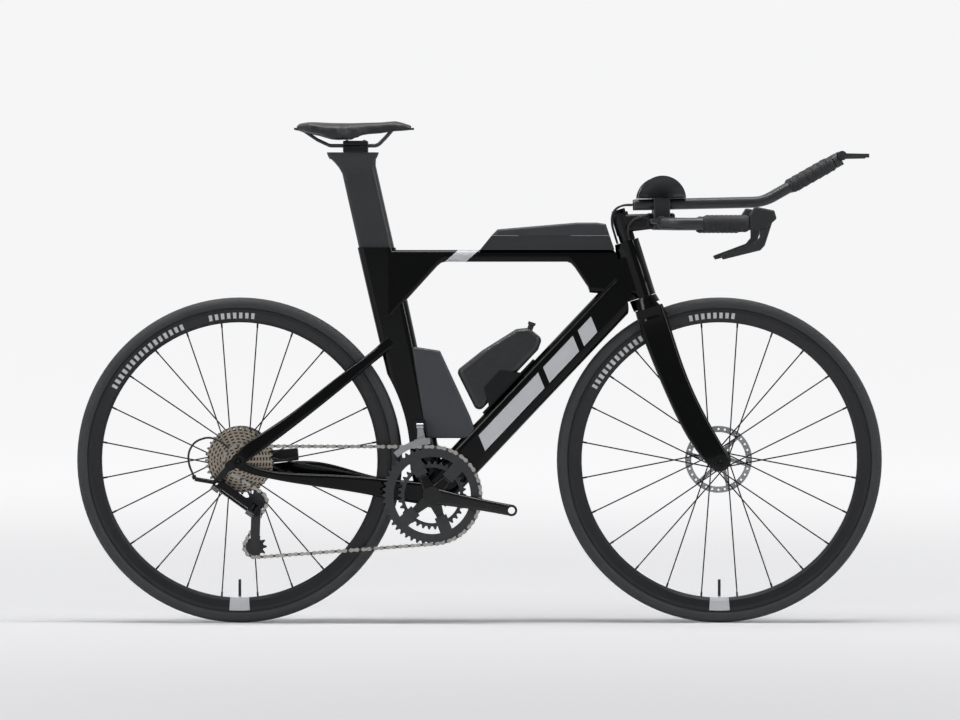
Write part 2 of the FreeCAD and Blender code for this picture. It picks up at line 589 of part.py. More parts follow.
def spider_points():
    rest = -math.radians(dim("crank_drop_angle"))
    turns = [sign * dim(name) for name in ("spider_near_angle", "spider_far_angle") for sign in (1, -1)]
    return [rest + math.radians(turn) for turn in turns]


right_angle = -math.radians(dim("crank_drop_angle"))
right_crank = crank_arm(-1, right_angle)
for angle in spider_points():
    along = Vector(math.cos(angle), 0, math.sin(angle))
    sideways = Vector(-math.sin(angle), 0, math.cos(angle))
    tab_width = TAB_INNER - TAB_OUTER
    tab_end = dim("bolt_circle_radius") + dim("spider_arm_width") / 2
    tab_start = dim("ring_bore_radius") - dim("ring_bolt_radius")
    root = BB_CENTRE + along * (dim("crank_boss_radius") - 6) + LEFTWARD * (TAB_OUTER - tab_width / 2)
    neck = BB_CENTRE + along * tab_start + LEFTWARD * (TAB_OUTER + tab_width / 2)
    tab = BB_CENTRE + along * tab_end + LEFTWARD * (TAB_OUTER + tab_width / 2)
    wide = dim("spider_arm_width")
    wires = [section(root, sideways, LEFTWARD, wide * 0.8, wide * 0.8, tab_width * 1.6, tab_width * 1.6),
             section(neck, sideways, LEFTWARD, wide / 2, wide / 2, tab_width, tab_width),
             section(tab, sideways, LEFTWARD, wide / 2, wide / 2, tab_width, tab_width)]
    right_crank = right_crank.fuse(loft(wires, True))
bolts = []
shank_holes = []
for angle in spider_points():
    spot = BB_CENTRE + Vector(math.cos(angle), 0, math.sin(angle)) * dim("bolt_circle_radius")
    head_y = BIG_RING_Y - dim("ring_thickness") / 2
    nut_y = SMALL_RING_Y + dim("ring_thickness") / 2
    shank = across(spot.x, spot.z, dim("ring_shank_radius"), head_y, nut_y)
    shank_holes.append(shank)
    head = across(spot.x, spot.z, dim("ring_bolt_radius") + 1, head_y - 1.5, head_y)
    nut = across(spot.x, spot.z, dim("ring_bolt_radius") + 1, nut_y, nut_y + 1.5)
    bolts.append(shank.fuse(head).fuse(nut))
spindle_end = boss_outer - dim("boss_lip")
spindle = across(BB_X, BB_CENTRE.z, dim("spindle_radius"), -spindle_end, spindle_end)
right_crank = right_crank.cut(shank_holes + [spindle])
shaped("crank_right", Part.makeCompound([right_crank, spindle]))
left_crank = crank_arm(1, right_angle + math.pi)
shaped("crank_left", left_crank.cut(spindle))

rings = []
for name, middle_y in (("big_ring", BIG_RING_Y), ("small_ring", SMALL_RING_Y)):
    thickness = dim("ring_thickness")
    teeth = dim(name + "_teeth")
    band = pitch_radius(teeth) - dim(name + "_band")
    ring = toothed_disc(teeth, thickness, band, middle_y)
    tab_corner = Vector(dim("ring_bore_radius"), middle_y - thickness / 2, -dim("ring_tab_width") / 2)
    for angle in spider_points():
        tab = Part.makeBox(band + dim("ring_tab_lap") - dim("ring_bore_radius"), thickness,
                           dim("ring_tab_width"), tab_corner)
        tab.rotate(Vector(), Vector(0, -1, 0), math.degrees(angle))
        ring = ring.fuse(tab)
    ring.translate(BB_CENTRE)
    rings.append(ring.cut(shank_holes))
shaped("chainrings", Part.makeCompound(rings + bolts))

# Chain line: the loop over ring, working cog, guide pulley and tension pulley
GUIDE = REAR_AXLE + Vector(dim("guide_ahead"), 0, -dim("guide_below"))
TENSION = REAR_AXLE + Vector(dim("tension_ahead"), 0, -dim("tension_below"))
LOOP = (
    (BB_CENTRE, pitch_radius(dim("big_ring_teeth")), 1),
    (REAR_AXLE, pitch_radius(dim("working_cog_teeth")), 1),
    (GUIDE, pitch_radius(dim("pulley_teeth")), -1),
    (TENSION, pitch_radius(dim("pulley_teeth")), 1),
)


# Tangent runs between the wheels of the loop, each offset sideways by the same amount
def loop_runs(offset):
    runs = []
    for step, (centre, radius, turn) in enumerate(LOOP):
        after, after_radius, after_turn = LOOP[(step + 1) % len(LOOP)]
        gap = after - centre
        lift = after_turn * after_radius - turn * radius
        reach = math.hypot(gap.x, gap.z)
        heading = math.atan2(gap.z, gap.x) - math.asin(lift / reach)
        normal = Vector(-math.sin(heading), 0, math.cos(heading))
        start = centre - normal * (turn * radius + offset)
        end = after - normal * (after_turn * after_radius + offset)
        runs.append((start, end))
    return runs


def loop_wire(offset, level):
    runs = loop_runs(offset)
    edges = []
    for step, (start, end) in enumerate(runs):
        centre, radius, turn = LOOP[(step + 1) % len(LOOP)]
        leave = runs[(step + 1) % len(runs)][0]
        edges.append(Part.makeLine(start, end))
        first = math.atan2(end.z - centre.z, end.x - centre.x)
        last = math.atan2(leave.z - centre.z, leave.x - centre.x)
        sweep = (last - first) * turn % (2 * math.pi)
        middle = first + turn * sweep / 2
        reach = radius + turn * offset
        top = centre + Vector(math.cos(middle), 0, math.sin(middle)) * reach
        edges.append(Part.Arc(end, top, leave).toShape())
    wire = Part.Wire(edges)
    wire.translate(LEFTWARD * level)
    return wire


chain_face = Part.Face(loop_wire(dim("link_height") / 2,
                                 0)).cut(Part.Face(loop_wire(-dim("link_height") / 2, 0)))
plates = []
for low in (-dim("link_gap") / 2 - dim("link_thickness"), dim("link_gap") / 2):
    plate = chain_face.extrude(LEFTWARD * dim("link_thickness"))
    plate.translate(LEFTWARD * (BIG_RING_Y + low))
    plates.append(plate)
pins = []
for step, (start, end) in enumerate(loop_runs(0)):
    run = end - start
    margins = []
    for centre, radius, turn in (LOOP[step], LOOP[(step + 1) % len(LOOP)]):
        tip = radius + dim("tooth_height")
        margins.append(math.sqrt(tip ** 2 - (radius - dim("pin_radius")) ** 2) + 2)
    place = margins[0]
    while place < run.Length - margins[1]:
        spot = start + run * (place / run.Length)
        pins.append(across(spot.x, spot.z, dim("pin_radius"), BIG_RING_Y - dim("link_gap") / 2,
                           BIG_RING_Y + dim("link_gap") / 2))
        place += dim("chain_pitch")
shaped("chain", plates[0].fuse([plates[1]] + pins))

# Jockey pulleys
for name, centre in (("guide_pulley", GUIDE), ("tension_pulley", TENSION)):
    wheel = toothed_disc(dim("pulley_teeth"), dim("pulley_thickness"),
                         dim("pulley_bolt_radius") + dim("swing_fit"), BIG_RING_Y)
    wheel.translate(centre)
    shaped(name, wheel)


# Rounded rectangular cross-section
def boxed(centre, first_axis, first_half, second_axis, second_half, corner):
    flat_first = first_half - corner
    flat_second = second_half - corner
    slant = corner * math.sqrt(0.5)
    edges = []
    quarter = ((1, 1), (-1, 1), (-1, -1), (1, -1))
    starts = []
    ends = []
    for step, (one, two) in enumerate(quarter):
        heart = centre + first_axis * (one * flat_first) + second_axis * (two * flat_second)
        side = heart + first_axis * (one * corner)
        roof = heart + second_axis * (two * corner)
        bulge = heart + first_axis * (one * slant) + second_axis * (two * slant)
        begin, finish = (side, roof) if step % 2 == 0 else (roof, side)
        starts.append(begin)
        ends.append(finish)
        edges.append(Part.Arc(begin, bulge, finish).toShape())
    wire = []
    for step in range(4):
        wire.append(edges[step])
        wire.append(Part.makeLine(ends[step], starts[(step + 1) % 4]))
    return Part.Wire(wire)


FORWARD = Vector(1, 0, 0)
UPWARD = Vector(0, 0, 1)

# Steering axis: leaned back at the head angle, the front axle standing ahead of it by the fork offset
lean = math.radians(dim("head_angle"))
STEER_UP = Vector(-math.cos(lean), 0, math.sin(lean))
STEER_AHEAD = Vector(math.sin(lean), 0, math.cos(lean))
STEER_FOOT = FRONT_AXLE - STEER_AHEAD * dim("fork_offset")
CROWN_TOP = STEER_FOOT + STEER_UP * dim("fork_length")
HEAD_LOW = CROWN_TOP + STEER_UP * dim("crown_gap")
HEAD_TOP = HEAD_LOW + STEER_UP * dim("head_tube_length")
COVER_LOW = HEAD_TOP - STEER_UP * dim("head_cover_height")


def head_section(spot, grow=0):
    width = dim("head_tube_radius") * 2
    return section(spot, STEER_AHEAD, LEFTWARD, dim("head_tube_radius"), dim("head_tube_rear") + grow,
                   width, width * 0.7)


# Seat tube axis runs from the bottom bracket up and back at the seat angle
seat_lean = math.radians(dim("seat_angle"))
SEAT_UP = Vector(-math.cos(seat_lean), 0, math.sin(seat_lean))
SEAT_AHEAD = Vector(math.sin(seat_lean), 0, math.cos(seat_lean))


def on_seat_axis(height):
    return BB_CENTRE + SEAT_UP * ((height - BB_CENTRE.z) / SEAT_UP.z)


def seat_section(height, depth, width, tail):
    return section(on_seat_axis(height), FORWARD, LEFTWARD, depth / 2, depth / 2, width, tail)


def post_section(spot, grow):
    return section(spot, SEAT_AHEAD, LEFTWARD, dim("post_depth") / 2 + grow, dim("post_depth") / 2 + grow,
                   dim("post_width") + 2 * grow, dim("post_tail_width") + 2 * grow)


# Main frame: one moulded piece of head tube, top tube, down tube, seat tube and bottom bracket barrel
head_tube = loft([head_section(HEAD_LOW), head_section(COVER_LOW)])
seat_low = BB_CENTRE.z + dim("bb_shell_radius") / 2
seat_tube = loft([
    seat_section(seat_low, dim("seat_tube_depth") - 14, dim("seat_tube_width") + 4, dim("seat_tube_width")),
    seat_section((seat_low + dim("seat_tube_height")) / 2, dim("seat_tube_depth") - 4,
                 dim("seat_tube_width"), dim("seat_tube_width") - 8),
    seat_section(dim("seat_tube_height"), dim("seat_tube_depth"), dim("seat_tube_width"),
                 dim("seat_tube_width") - 8),
])
down_head = HEAD_LOW - STEER_AHEAD * dim("down_tube_head_back") + STEER_UP * dim("down_tube_head_up")
down_run = (down_head - BB_CENTRE).normalize()
down_across = Vector(-down_run.z, 0, down_run.x)
down_stations = [BB_CENTRE, BB_CENTRE + (down_head - BB_CENTRE) * 0.5, down_head + down_run * 30]
down_tube = loft([
    boxed(spot, down_across, dim("down_tube_depth") / 2, LEFTWARD, dim("down_tube_width") / 2,
          dim("tube_corner") * 1.6)
    for spot in down_stations
])
barrel = across(BB_X, BB_CENTRE.z, dim("bb_barrel_radius"), -dim("bb_shell_width") / 2,
                dim("bb_shell_width") / 2)

# Top tube: its underside slopes into the head tube and the seat tube in two gussets
top_edge = dim("top_tube_height")
under_edge = top_edge - dim("top_tube_depth")
seat_face_x = on_seat_axis(under_edge).x + dim("seat_tube_depth") / 2
front_gusset = HEAD_LOW.x - dim("gusset_front_start")
front_corner = front_gusset + dim("gusset_front_run")
rear_gusset = seat_face_x + dim("gusset_rear_start")
rear_corner = rear_gusset - dim("gusset_rear_run")
gusset_round = dim("gusset_round")
front_slope = dim("gusset_front_drop") / dim("gusset_front_run")
rear_slope = dim("gusset_rear_drop") / dim("gusset_rear_run")
stations = (
    (HEAD_LOW.x - 20, dim("gusset_head_drop")),
    (front_corner + gusset_round / 2, dim("gusset_front_drop") + gusset_round * 1.5),
    (front_corner, dim("gusset_front_drop")),
    (front_gusset + gusset_round, gusset_round * front_slope),
    (front_gusset, gusset_round * front_slope / 4),
    (front_gusset - gusset_round, 0),
    (rear_gusset + gusset_round, 0),
    (rear_gusset, gusset_round * rear_slope / 4),
    (rear_gusset - gusset_round, gusset_round * rear_slope),
    (rear_corner, dim("gusset_rear_drop")),
)
top_wires = []
for x, swell in stations:
    half = (dim("top_tube_depth") + swell) / 2
    top_wires.append(boxed(Vector(x, 0, top_edge - half), UPWARD, half, LEFTWARD,
                           dim("top_tube_width") / 2, dim("tube_corner")))
top_tube = loft(top_wires, True)

frame_solid = head_tube.fuse([seat_tube, down_tube, barrel, top_tube])
tyre_way = across(REAR_AXLE.x, REAR_AXLE.z, dim("tyre_radius") + dim("tyre_gap"),
                  -dim("bb_shell_width"), dim("bb_shell_width"))
crown_way = Part.makeCylinder(dim("crown_sweep"), dim("crown_depth") * 2,
                              HEAD_LOW - STEER_UP * (dim("crown_depth") * 2), STEER_UP)
above_cover = Part.makeCylinder(dim("head_tube_rear") + dim("cover_room"), dim("head_tube_length"),
                                COVER_LOW, STEER_UP)
frame_solid = frame_solid.cut([tyre_way, crown_way, above_cover])
steerer_bore = rod(HEAD_LOW - STEER_UP * 5, HEAD_TOP + STEER_UP * 5,
                   dim("steerer_radius") + dim("head_bore_fit"))
bearing_height = STEER_UP * dim("head_bearing_height")
low_seat = rod(HEAD_LOW, HEAD_LOW + bearing_height, dim("head_bearing_radius"))
high_seat = rod(COVER_LOW - bearing_height, COVER_LOW, dim("head_bearing_radius"))
bb_bore = across(BB_X, BB_CENTRE.z, dim("bb_bearing_radius"), -dim("bb_shell_width"), dim("bb_shell_width"))
post_top = on_seat_axis(dim("post_head_height"))
post_foot = on_seat_axis(dim("seat_tube_height")) - SEAT_UP * dim("post_insertion")
pocket_foot = post_foot - SEAT_UP * (dim("post_travel_down") + 5)
post_pocket = loft([post_section(pocket_foot, dim("post_fit")), post_section(post_top, dim("post_fit"))])
main_frame = frame_solid.cut([steerer_bore, low_seat, high_seat, bb_bore, post_pocket])
shaped("main_frame", main_frame)

# Headset: two bearings round the steerer and the upper cover that carries on the head tube's shape
steerer_fit = dim("steerer_radius") + dim("spindle_fit")
headset = [loft([head_section(COVER_LOW), head_section(HEAD_TOP, -6)]).cut(steerer_bore)]
for seat in (low_seat, high_seat):
    headset.append(seat.cut(rod(HEAD_LOW - STEER_UP * 5, HEAD_TOP, steerer_fit)))
shaped("headset", Part.makeCompound(headset))

# Rear triangle: a chainstay and a seatstay on each side, joined at the dropout
rear_y = dim("chainstay_rear_gap") + dim("dropout_thickness") / 2
bb_to_axle = BB_CENTRE - REAR_AXLE
stay_inner = dim("tyre_width") / 2 + dim("stay_tyre_gap")
chainstay_stations = (
    (0.0, -5, rear_y, dim("chainstay_rear_depth") + 6, dim("dropout_thickness")),
    (0.06, -12, rear_y, dim("chainstay_rear_depth"), dim("dropout_thickness")),
    (0.24, -16, rear_y - 13, dim("chainstay_rear_depth") + 1, dim("stay_width")),
    (0.48, -9, rear_y - 28, dim("chainstay_rear_depth") + 11, dim("stay_width")),
    (0.72, -4, stay_inner + dim("stay_width") / 2, dim("chainstay_front_depth"), dim("stay_width")),
    (0.96, 0, stay_inner + dim("stay_width") / 2 - 2, dim("chainstay_front_depth") + 6, dim("stay_width")),
)


def chainstay(rise):
    wires = []
    for share, sag, off, depth, width in chainstay_stations:
        middle = REAR_AXLE + bb_to_axle * share + UPWARD * sag - LEFTWARD * off
        lift = rise if 0.1 < share < 0.6 else 0
        wires.append(section(middle, UPWARD, LEFTWARD, depth / 2 + lift, depth / 2, width, width))
    return loft(wires)


stay_top = on_seat_axis(dim("seatstay_height"))
axle_to_top = stay_top - REAR_AXLE
stay_run = Vector(axle_to_top.x, 0, axle_to_top.z).normalize()
stay_up = Vector(-stay_run.z, 0, stay_run.x)
seatstay_stations = (
    (0.0, 2, rear_y, dim("seatstay_lower_depth") - 4, dim("dropout_thickness")),
    (0.07, 3, rear_y, dim("seatstay_lower_depth"), dim("dropout_thickness")),
    (0.16, 2, rear_y - 5, dim("seatstay_lower_depth"), dim("stay_width") - 2),
    (0.48, 0, rear_y - 26, dim("seatstay_upper_depth") + 3, dim("stay_width") - 2),
    (0.76, 2, stay_inner + dim("stay_width") / 2 - 2, dim("seatstay_upper_depth"), dim("stay_width") - 2),
    (0.97, 6, dim("seat_tube_width") / 2 - dim("stay_width") / 2, dim("seatstay_upper_depth") + 5,
     dim("stay_width") - 2),
)
seat_wires = []
for share, rise, off, depth, width in seatstay_stations:
    middle = REAR_AXLE + axle_to_top * share + stay_up * rise - LEFTWARD * off
    seat_wires.append(section(middle, stay_up, LEFTWARD, depth / 2, depth / 2, width, width))
axle_boss = across(REAR_AXLE.x, REAR_AXLE.z, dim("dropout_radius"), -dim("chainstay_rear_gap"),
                   -dim("chainstay_rear_gap") - dim("dropout_thickness"))
axle_bore = across(REAR_AXLE.x, REAR_AXLE.z, dim("axle_radius"), 0, -dim("rear_hub_width"))
seatstay = loft(seat_wires)
rear_caps = across(REAR_AXLE.x, REAR_AXLE.z, dim("cap_radius") + dim("clearance"), 0,
                   -dim("chainstay_rear_gap"))
rear_heads = across(REAR_AXLE.x, REAR_AXLE.z, dim("dropout_radius") + dim("clearance"),
                    -dim("chainstay_rear_gap") - dim("dropout_thickness"), -dim("rear_hub_width"))
stay_cuts = [axle_bore, rear_caps, rear_heads, frame_solid]
right_stays = chainstay(0).fuse([seatstay, axle_boss]).cut(stay_cuts)
left_stays = chainstay(dim("caliper_land")).fuse([seatstay, axle_boss]).cut(stay_cuts)
left_stays = left_stays.mirror(Vector(), LEFTWARD)
shaped("rear_triangle", Part.makeCompound([right_stays, left_stays]))

# Fork: crown with its tyre arch, two blade legs swept forward to the axle, and the steerer tube
crown_foot = CROWN_TOP - STEER_UP * dim("crown_depth")
crown = loft([
    head_section(CROWN_TOP),
    boxed(crown_foot + STEER_AHEAD * 2, STEER_AHEAD, 33, LEFTWARD, dim("crown_width") / 2, 24),
])
leg_off = dim("fork_slot_width") / 2 + dim("fork_leg_width") / 2
tip_off = dim("fork_tip_gap") + dim("fork_tip_thickness") / 2
leg_drop = STEER_UP * -1
crown_reach = dim("fork_length") - dim("crown_depth") / 2
leg_stations = (
    (0.0, 0, leg_off, dim("fork_leg_depth"), dim("fork_leg_width")),
    (0.28, 2, leg_off + 1, dim("fork_leg_depth"), dim("fork_leg_width")),
    (0.58, 10, leg_off + 11, dim("fork_leg_depth") - 4, dim("fork_leg_width") - 1),
    (0.84, 26, leg_off + 22, dim("fork_leg_depth") - 4, dim("fork_leg_width") - 3),
    (1.0, dim("fork_offset") - 3, tip_off, dim("fork_tip_depth"), dim("fork_tip_thickness")),
)
leg_wires = []
leg_top = CROWN_TOP - STEER_UP * (dim("crown_depth") / 2)
for share, ahead, off, depth, width in leg_stations:
    middle = leg_top + leg_drop * (crown_reach * share) + STEER_AHEAD * ahead - LEFTWARD * off
    leg_wires.append(section(middle, STEER_AHEAD, LEFTWARD, depth / 2, depth / 2, width, width * 0.8))
tip_boss = across(FRONT_AXLE.x, FRONT_AXLE.z, dim("fork_tip_radius"), -dim("fork_tip_gap"),
                  -dim("fork_tip_gap") - dim("fork_tip_thickness"))
right_leg = loft(leg_wires).fuse(tip_boss)
left_leg = right_leg.mirror(Vector(), LEFTWARD)
arch = across(FRONT_AXLE.x, FRONT_AXLE.z, dim("tyre_radius") + dim("tyre_gap"),
              -dim("fork_slot_width") / 2, dim("fork_slot_width") / 2)
front_bore = across(FRONT_AXLE.x, FRONT_AXLE.z, dim("axle_radius"), -dim("front_hub_width"),
                    dim("front_hub_width"))
steerer_top = HEAD_TOP + STEER_UP * dim("steerer_above")
steerer = rod(CROWN_TOP - STEER_UP * 10, steerer_top, dim("steerer_radius"))
steerer_hollow = rod(CROWN_TOP, steerer_top, dim("steerer_radius") - dim("steerer_wall"))
front_caps = across(FRONT_AXLE.x, FRONT_AXLE.z, dim("cap_radius") + dim("clearance"), -dim("fork_tip_gap"),
                    dim("fork_tip_gap"))
fork = crown.fuse([right_leg, left_leg]).cut([arch, front_bore,
                                              front_caps]).fuse(steerer).cut(steerer_hollow)
shaped("fork", fork)

# Seat post: a blade with a rearward head that carries the saddle clamp
head_middle = post_top - FORWARD * dim("post_head_back") + UPWARD * (dim("post_head_thickness") / 2)
blade = loft([post_section(post_foot, 0), post_section(post_top + SEAT_UP * dim("post_overlap"), 0)])
plate = loft([
    boxed(head_middle + UPWARD * (level * dim("post_head_thickness") / 2), FORWARD,
          dim("post_head_length") / 2 - inset, LEFTWARD, dim("post_head_width") / 2 - inset / 2, 9)
    for level, inset in ((-1, 6), (0, 2), (1, 0))
])
flare_stations = ((-46, 0, 0, 9), (-30, 2, 0, 10), (-18, 6, 1, 11.5), (-8, 12, 3, 14), (2, 20, 6, 17))
flare_wires = []
for drop, behind, ahead, half_width in flare_stations:
    middle = on_seat_axis(post_top.z + drop) + FORWARD * ((ahead - behind) / 2)
    half_length = dim("post_depth") / 2 - 1 + (ahead + behind) / 2
    flare_wires.append(boxed(middle, FORWARD, half_length, LEFTWARD, half_width, 8.5))
flare = loft(flare_wires, True)
shaped("seatpost", blade.fuse([flare, plate]))


# Path of straight runs joined by tangent arcs, each arc as wide as its bend asks
def bent_wire(points, bend):
    edges = []
    cursor = points[0]
    for before, corner, after in zip(points, points[1:], points[2:]):
        into = (corner - before).normalize()
        out = (after - corner).normalize()
        half_turn = math.acos(max(-1, min(1, into.dot(out)))) / 2
        trim = bend * math.tan(half_turn)
        start = corner - into * trim
        end = corner + out * trim
        heart = (out - into).normalize()
        apex = corner + heart * (bend / math.cos(half_turn) - bend)
        edges.append(Part.makeLine(cursor, start))
        edges.append(Part.Arc(start, apex, end).toShape())
        cursor = end
    edges.append(Part.makeLine(cursor, points[-1]))
    return Part.Wire(edges)


def bent_tube(points, radius, bend):
    path = bent_wire(points, bend)
    ring = Part.Wire(Part.makeCircle(radius, points[0], points[1] - points[0]))
    return path.makePipeShell([ring], True, False)


def slab(corners, low_y, high_y):
    ring = [Vector(x, low_y, z) for x, z in corners]
    return Part.Face(Part.makePolygon(ring + [ring[0]])).extrude(LEFTWARD * (high_y - low_y))


def softened(solid, radius):
    return solid.makeFillet(radius, solid.Edges)


# Rear derailleur hanger: an alloy plate screwed on the outside of the right dropout
hanger_outer = -dim("chainstay_rear_gap") - dim("dropout_thickness")
hanger_face = hanger_outer - dim("hanger_thickness")
HANGER = REAR_AXLE + Vector(-dim("hanger_behind"), 0, -dim("hanger_below"))
hanger = loft([
    section((REAR_AXLE + HANGER) * 0.5 + LEFTWARD * level, (HANGER - REAR_AXLE).normalize(),
            (HANGER - REAR_AXLE).normalize().cross(LEFTWARD), 21, 21, 20, 22)
    for level in (hanger_face, hanger_outer)
])
hanger_bore = across(REAR_AXLE.x, REAR_AXLE.z, dim("axle_head_radius") + dim("clearance"), 0,
                     hanger_face * 2)
hanger = hanger.cut([hanger_bore, right_stays])
shaped("derailleur_hanger", hanger)

# Rear derailleur: knuckle, two parallel links, lower knuckle and a sprung pulley cage
LINK_REAR = REAR_AXLE + Vector(-dim("link_rear_behind"), -dim("swing_middle"), -dim("link_rear_below"))
LINK_FRONT = REAR_AXLE + Vector(dim("link_front_ahead"), -dim("swing_middle"), -dim("link_front_below"))
swing_run = (LINK_FRONT - LINK_REAR).normalize()
slant = math.radians(dim("swing_slant"))
wanted = Vector(0, math.cos(slant), -math.sin(slant))
swing_side = (wanted - swing_run * wanted.dot(swing_run)).normalize()
swing_axis = swing_run.cross(swing_side)
swing_length = (LINK_FRONT - LINK_REAR).Length
half_height = dim("swing_height") / 2
half_spread = dim("swing_spread") / 2


def swing_block(start, run_low, run_high, side_low, side_high, axis_low, axis_high):
    base = start + swing_run * run_low + swing_side * side_low + swing_axis * axis_low
    face = Part.makePolygon([
        base,
        base + swing_run * (run_high - run_low),
        base + swing_run * (run_high - run_low) + swing_side * (side_high - side_low),
        base + swing_side * (side_high - side_low),
        base,
    ])
    return Part.Face(face).extrude(swing_axis * (axis_high - axis_low))


def swing_pin(spot, radius, reach):
    return rod(spot - swing_axis * reach, spot + swing_axis * reach, radius)


def swing_link(name, side):
    start = LINK_REAR + swing_side * side
    end = LINK_FRONT + swing_side * side
    bar = swing_block(start, 0, swing_length, -dim("swing_link") / 2, dim("swing_link") / 2,
                      -half_height, half_height)
    ends = [swing_pin(spot, dim("swing_link") / 2, half_height) for spot in (start, end)]
    holes = [swing_pin(spot, dim("swing_pin") + dim("swing_fit"), half_height * 2) for spot in (start, end)]
    shaped(name, bar.fuse(ends).cut(holes))


swing_link("rd_outer_link", -half_spread)
swing_link("rd_inner_link", half_spread)


# Forked lugs above and below the two link ends, with a wall behind them and the two pivot pins
def swing_fork(start, reach, wall):
    side = half_spread + dim("swing_link")
    low = half_height + dim("clearance")
    high = low + dim("lug_thickness")
    near, far = sorted((math.copysign(reach, -wall), wall))
    wall_near, wall_far = sorted((wall, wall - math.copysign(dim("lug_thickness"), wall)))
    pieces = [
        swing_block(start, near, far, -side, side, low, high),
        swing_block(start, near, far, -side, side, -high, -low),
        swing_block(start, wall_near, wall_far, -side, side, -high, high),
    ]
    pieces += [swing_pin(start + swing_side * off, dim("swing_pin"), high)
               for off in (-half_spread, half_spread)]
    return pieces[0].fuse(pieces[1:])


# Free space the two links sweep between the lugs
def swing_room(start, near, far):
    tall = half_height + dim("clearance")
    return [swing_block(start + swing_side * off, near, far, -dim("swing_link"), dim("swing_link"), -tall,
                        tall)
            for off in (-half_spread, half_spread)]


back_wall = dim("lug_reach") + dim("lug_thickness") + 2
upper_fork = swing_fork(LINK_REAR, dim("lug_reach"), -back_wall)
hanger_bolt = across(HANGER.x, HANGER.z, dim("hanger_bolt_radius"), hanger_face,
                     hanger_face - dim("knuckle_width"))
arm_foot = LINK_REAR - swing_run * (back_wall - dim("lug_thickness") / 2)
arm_level = hanger_face - dim("knuckle_width") / 2
knuckle_arm = loft([
    boxed(Vector(HANGER.x, arm_level, HANGER.z), LEFTWARD, dim("knuckle_width") / 2, FORWARD, 9, 3),
    boxed(Vector(arm_foot.x, arm_level + 3, arm_foot.z), LEFTWARD, dim("knuckle_width") / 2, FORWARD, 9, 3),
])
barrel_mouth = REAR_AXLE + Vector(-dim("barrel_behind"), -dim("barrel_off"), -dim("barrel_below"))
barrel_run = Vector(10, -1, -23).normalize()
barrel_bend = barrel_mouth + barrel_run * 8
cable_barrel = [rod(barrel_mouth, barrel_bend, dim("barrel_radius")),
                rod(barrel_bend, arm_foot, dim("barrel_radius"))]
upper_pins = [swing_pin(LINK_REAR + swing_side * off, dim("swing_pin"), half_height + dim("lug_thickness"))
              for off in (-half_spread, half_spread)]
upper_knuckle = upper_fork.fuse([hanger_bolt, knuckle_arm] + cable_barrel)
upper_knuckle = upper_knuckle.cut(swing_room(LINK_REAR, -dim("swing_link"), swing_length) + [hanger,
                                                                                             right_stays])
shaped("rd_upper_knuckle", upper_knuckle.fuse(upper_pins))

cage_outer = BIG_RING_Y - dim("cage_gap") / 2 - dim("cage_plate")
cage_inner = BIG_RING_Y + dim("cage_gap") / 2 + dim("cage_plate")
CAGE_PIVOT = LINK_FRONT + swing_run * (back_wall - dim("lug_thickness") / 2)
lower_fork = swing_fork(LINK_FRONT, dim("lug_reach"), back_wall)
pivot_barrel = across(CAGE_PIVOT.x, CAGE_PIVOT.z, dim("rd_boss_radius"), LINK_FRONT.y - half_spread,
                      cage_outer - dim("clearance"))
pivot_stub = across(CAGE_PIVOT.x, CAGE_PIVOT.z, dim("cage_pivot_radius"), cage_outer - dim("clearance"),
                    cage_outer + dim("cage_plate"))
link_room = swing_room(LINK_FRONT, -swing_length, dim("swing_link"))
lower_pins = [swing_pin(LINK_FRONT + swing_side * off, dim("swing_pin"), half_height + dim("lug_thickness"))
              for off in (-half_spread, half_spread)]
shaped("rd_lower_knuckle", lower_fork.fuse(pivot_barrel).cut(link_room).fuse([pivot_stub] + lower_pins))

# Pulley cage: two plates joined by the pulley bolts
cage_run = (TENSION - GUIDE).normalize()
cage_across = cage_run.cross(LEFTWARD)
cage_middle = (GUIDE + TENSION) * 0.5
cage_half = (TENSION - GUIDE).Length / 2 + dim("cage_reach")
plates = []
for low in (cage_outer, cage_inner - dim("cage_plate")):
    plates.append(loft([
        section(cage_middle + LEFTWARD * level, cage_run, cage_across, cage_half, cage_half,
                dim("cage_width"), dim("cage_width"))
        for level in (low, low + dim("cage_plate"))
    ]))
eye = across(CAGE_PIVOT.x, CAGE_PIVOT.z, dim("rd_boss_radius"), cage_outer, cage_outer + dim("cage_plate"))
pivot_hole = across(CAGE_PIVOT.x, CAGE_PIVOT.z, dim("cage_pivot_radius") + dim("swing_fit"),
                    cage_outer * 2, 0)
pulley_bolts = [across(spot.x, spot.z, dim("pulley_bolt_radius"), cage_outer, cage_inner)
                for spot in (GUIDE, TENSION)]
outer_plate = plates[0].fuse(eye).cut(pivot_hole)
shaped("rd_cage", outer_plate.fuse([plates[1]] + pulley_bolts))

# Front derailleur: a body on the seat tube and a hinged cage round the upper chain run
ring_tip = pitch_radius(dim("big_ring_teeth")) + dim("tooth_height")
cage_low = ring_tip + dim("fd_clearance")


def on_ring(angle, radius):
    swing = math.radians(angle)
    return (BB_X + radius * math.cos(swing), BB_CENTRE.z + radius * math.sin(swing))


def cage_strip(inner, outer, first, last):
    steps = 6
    angles = [first + (last - first) * step / steps for step in range(steps + 1)]
    lower = [on_ring(angle, inner) for angle in angles]
    upper = [on_ring(angle, outer) for angle in reversed(angles)]
    return lower + upper


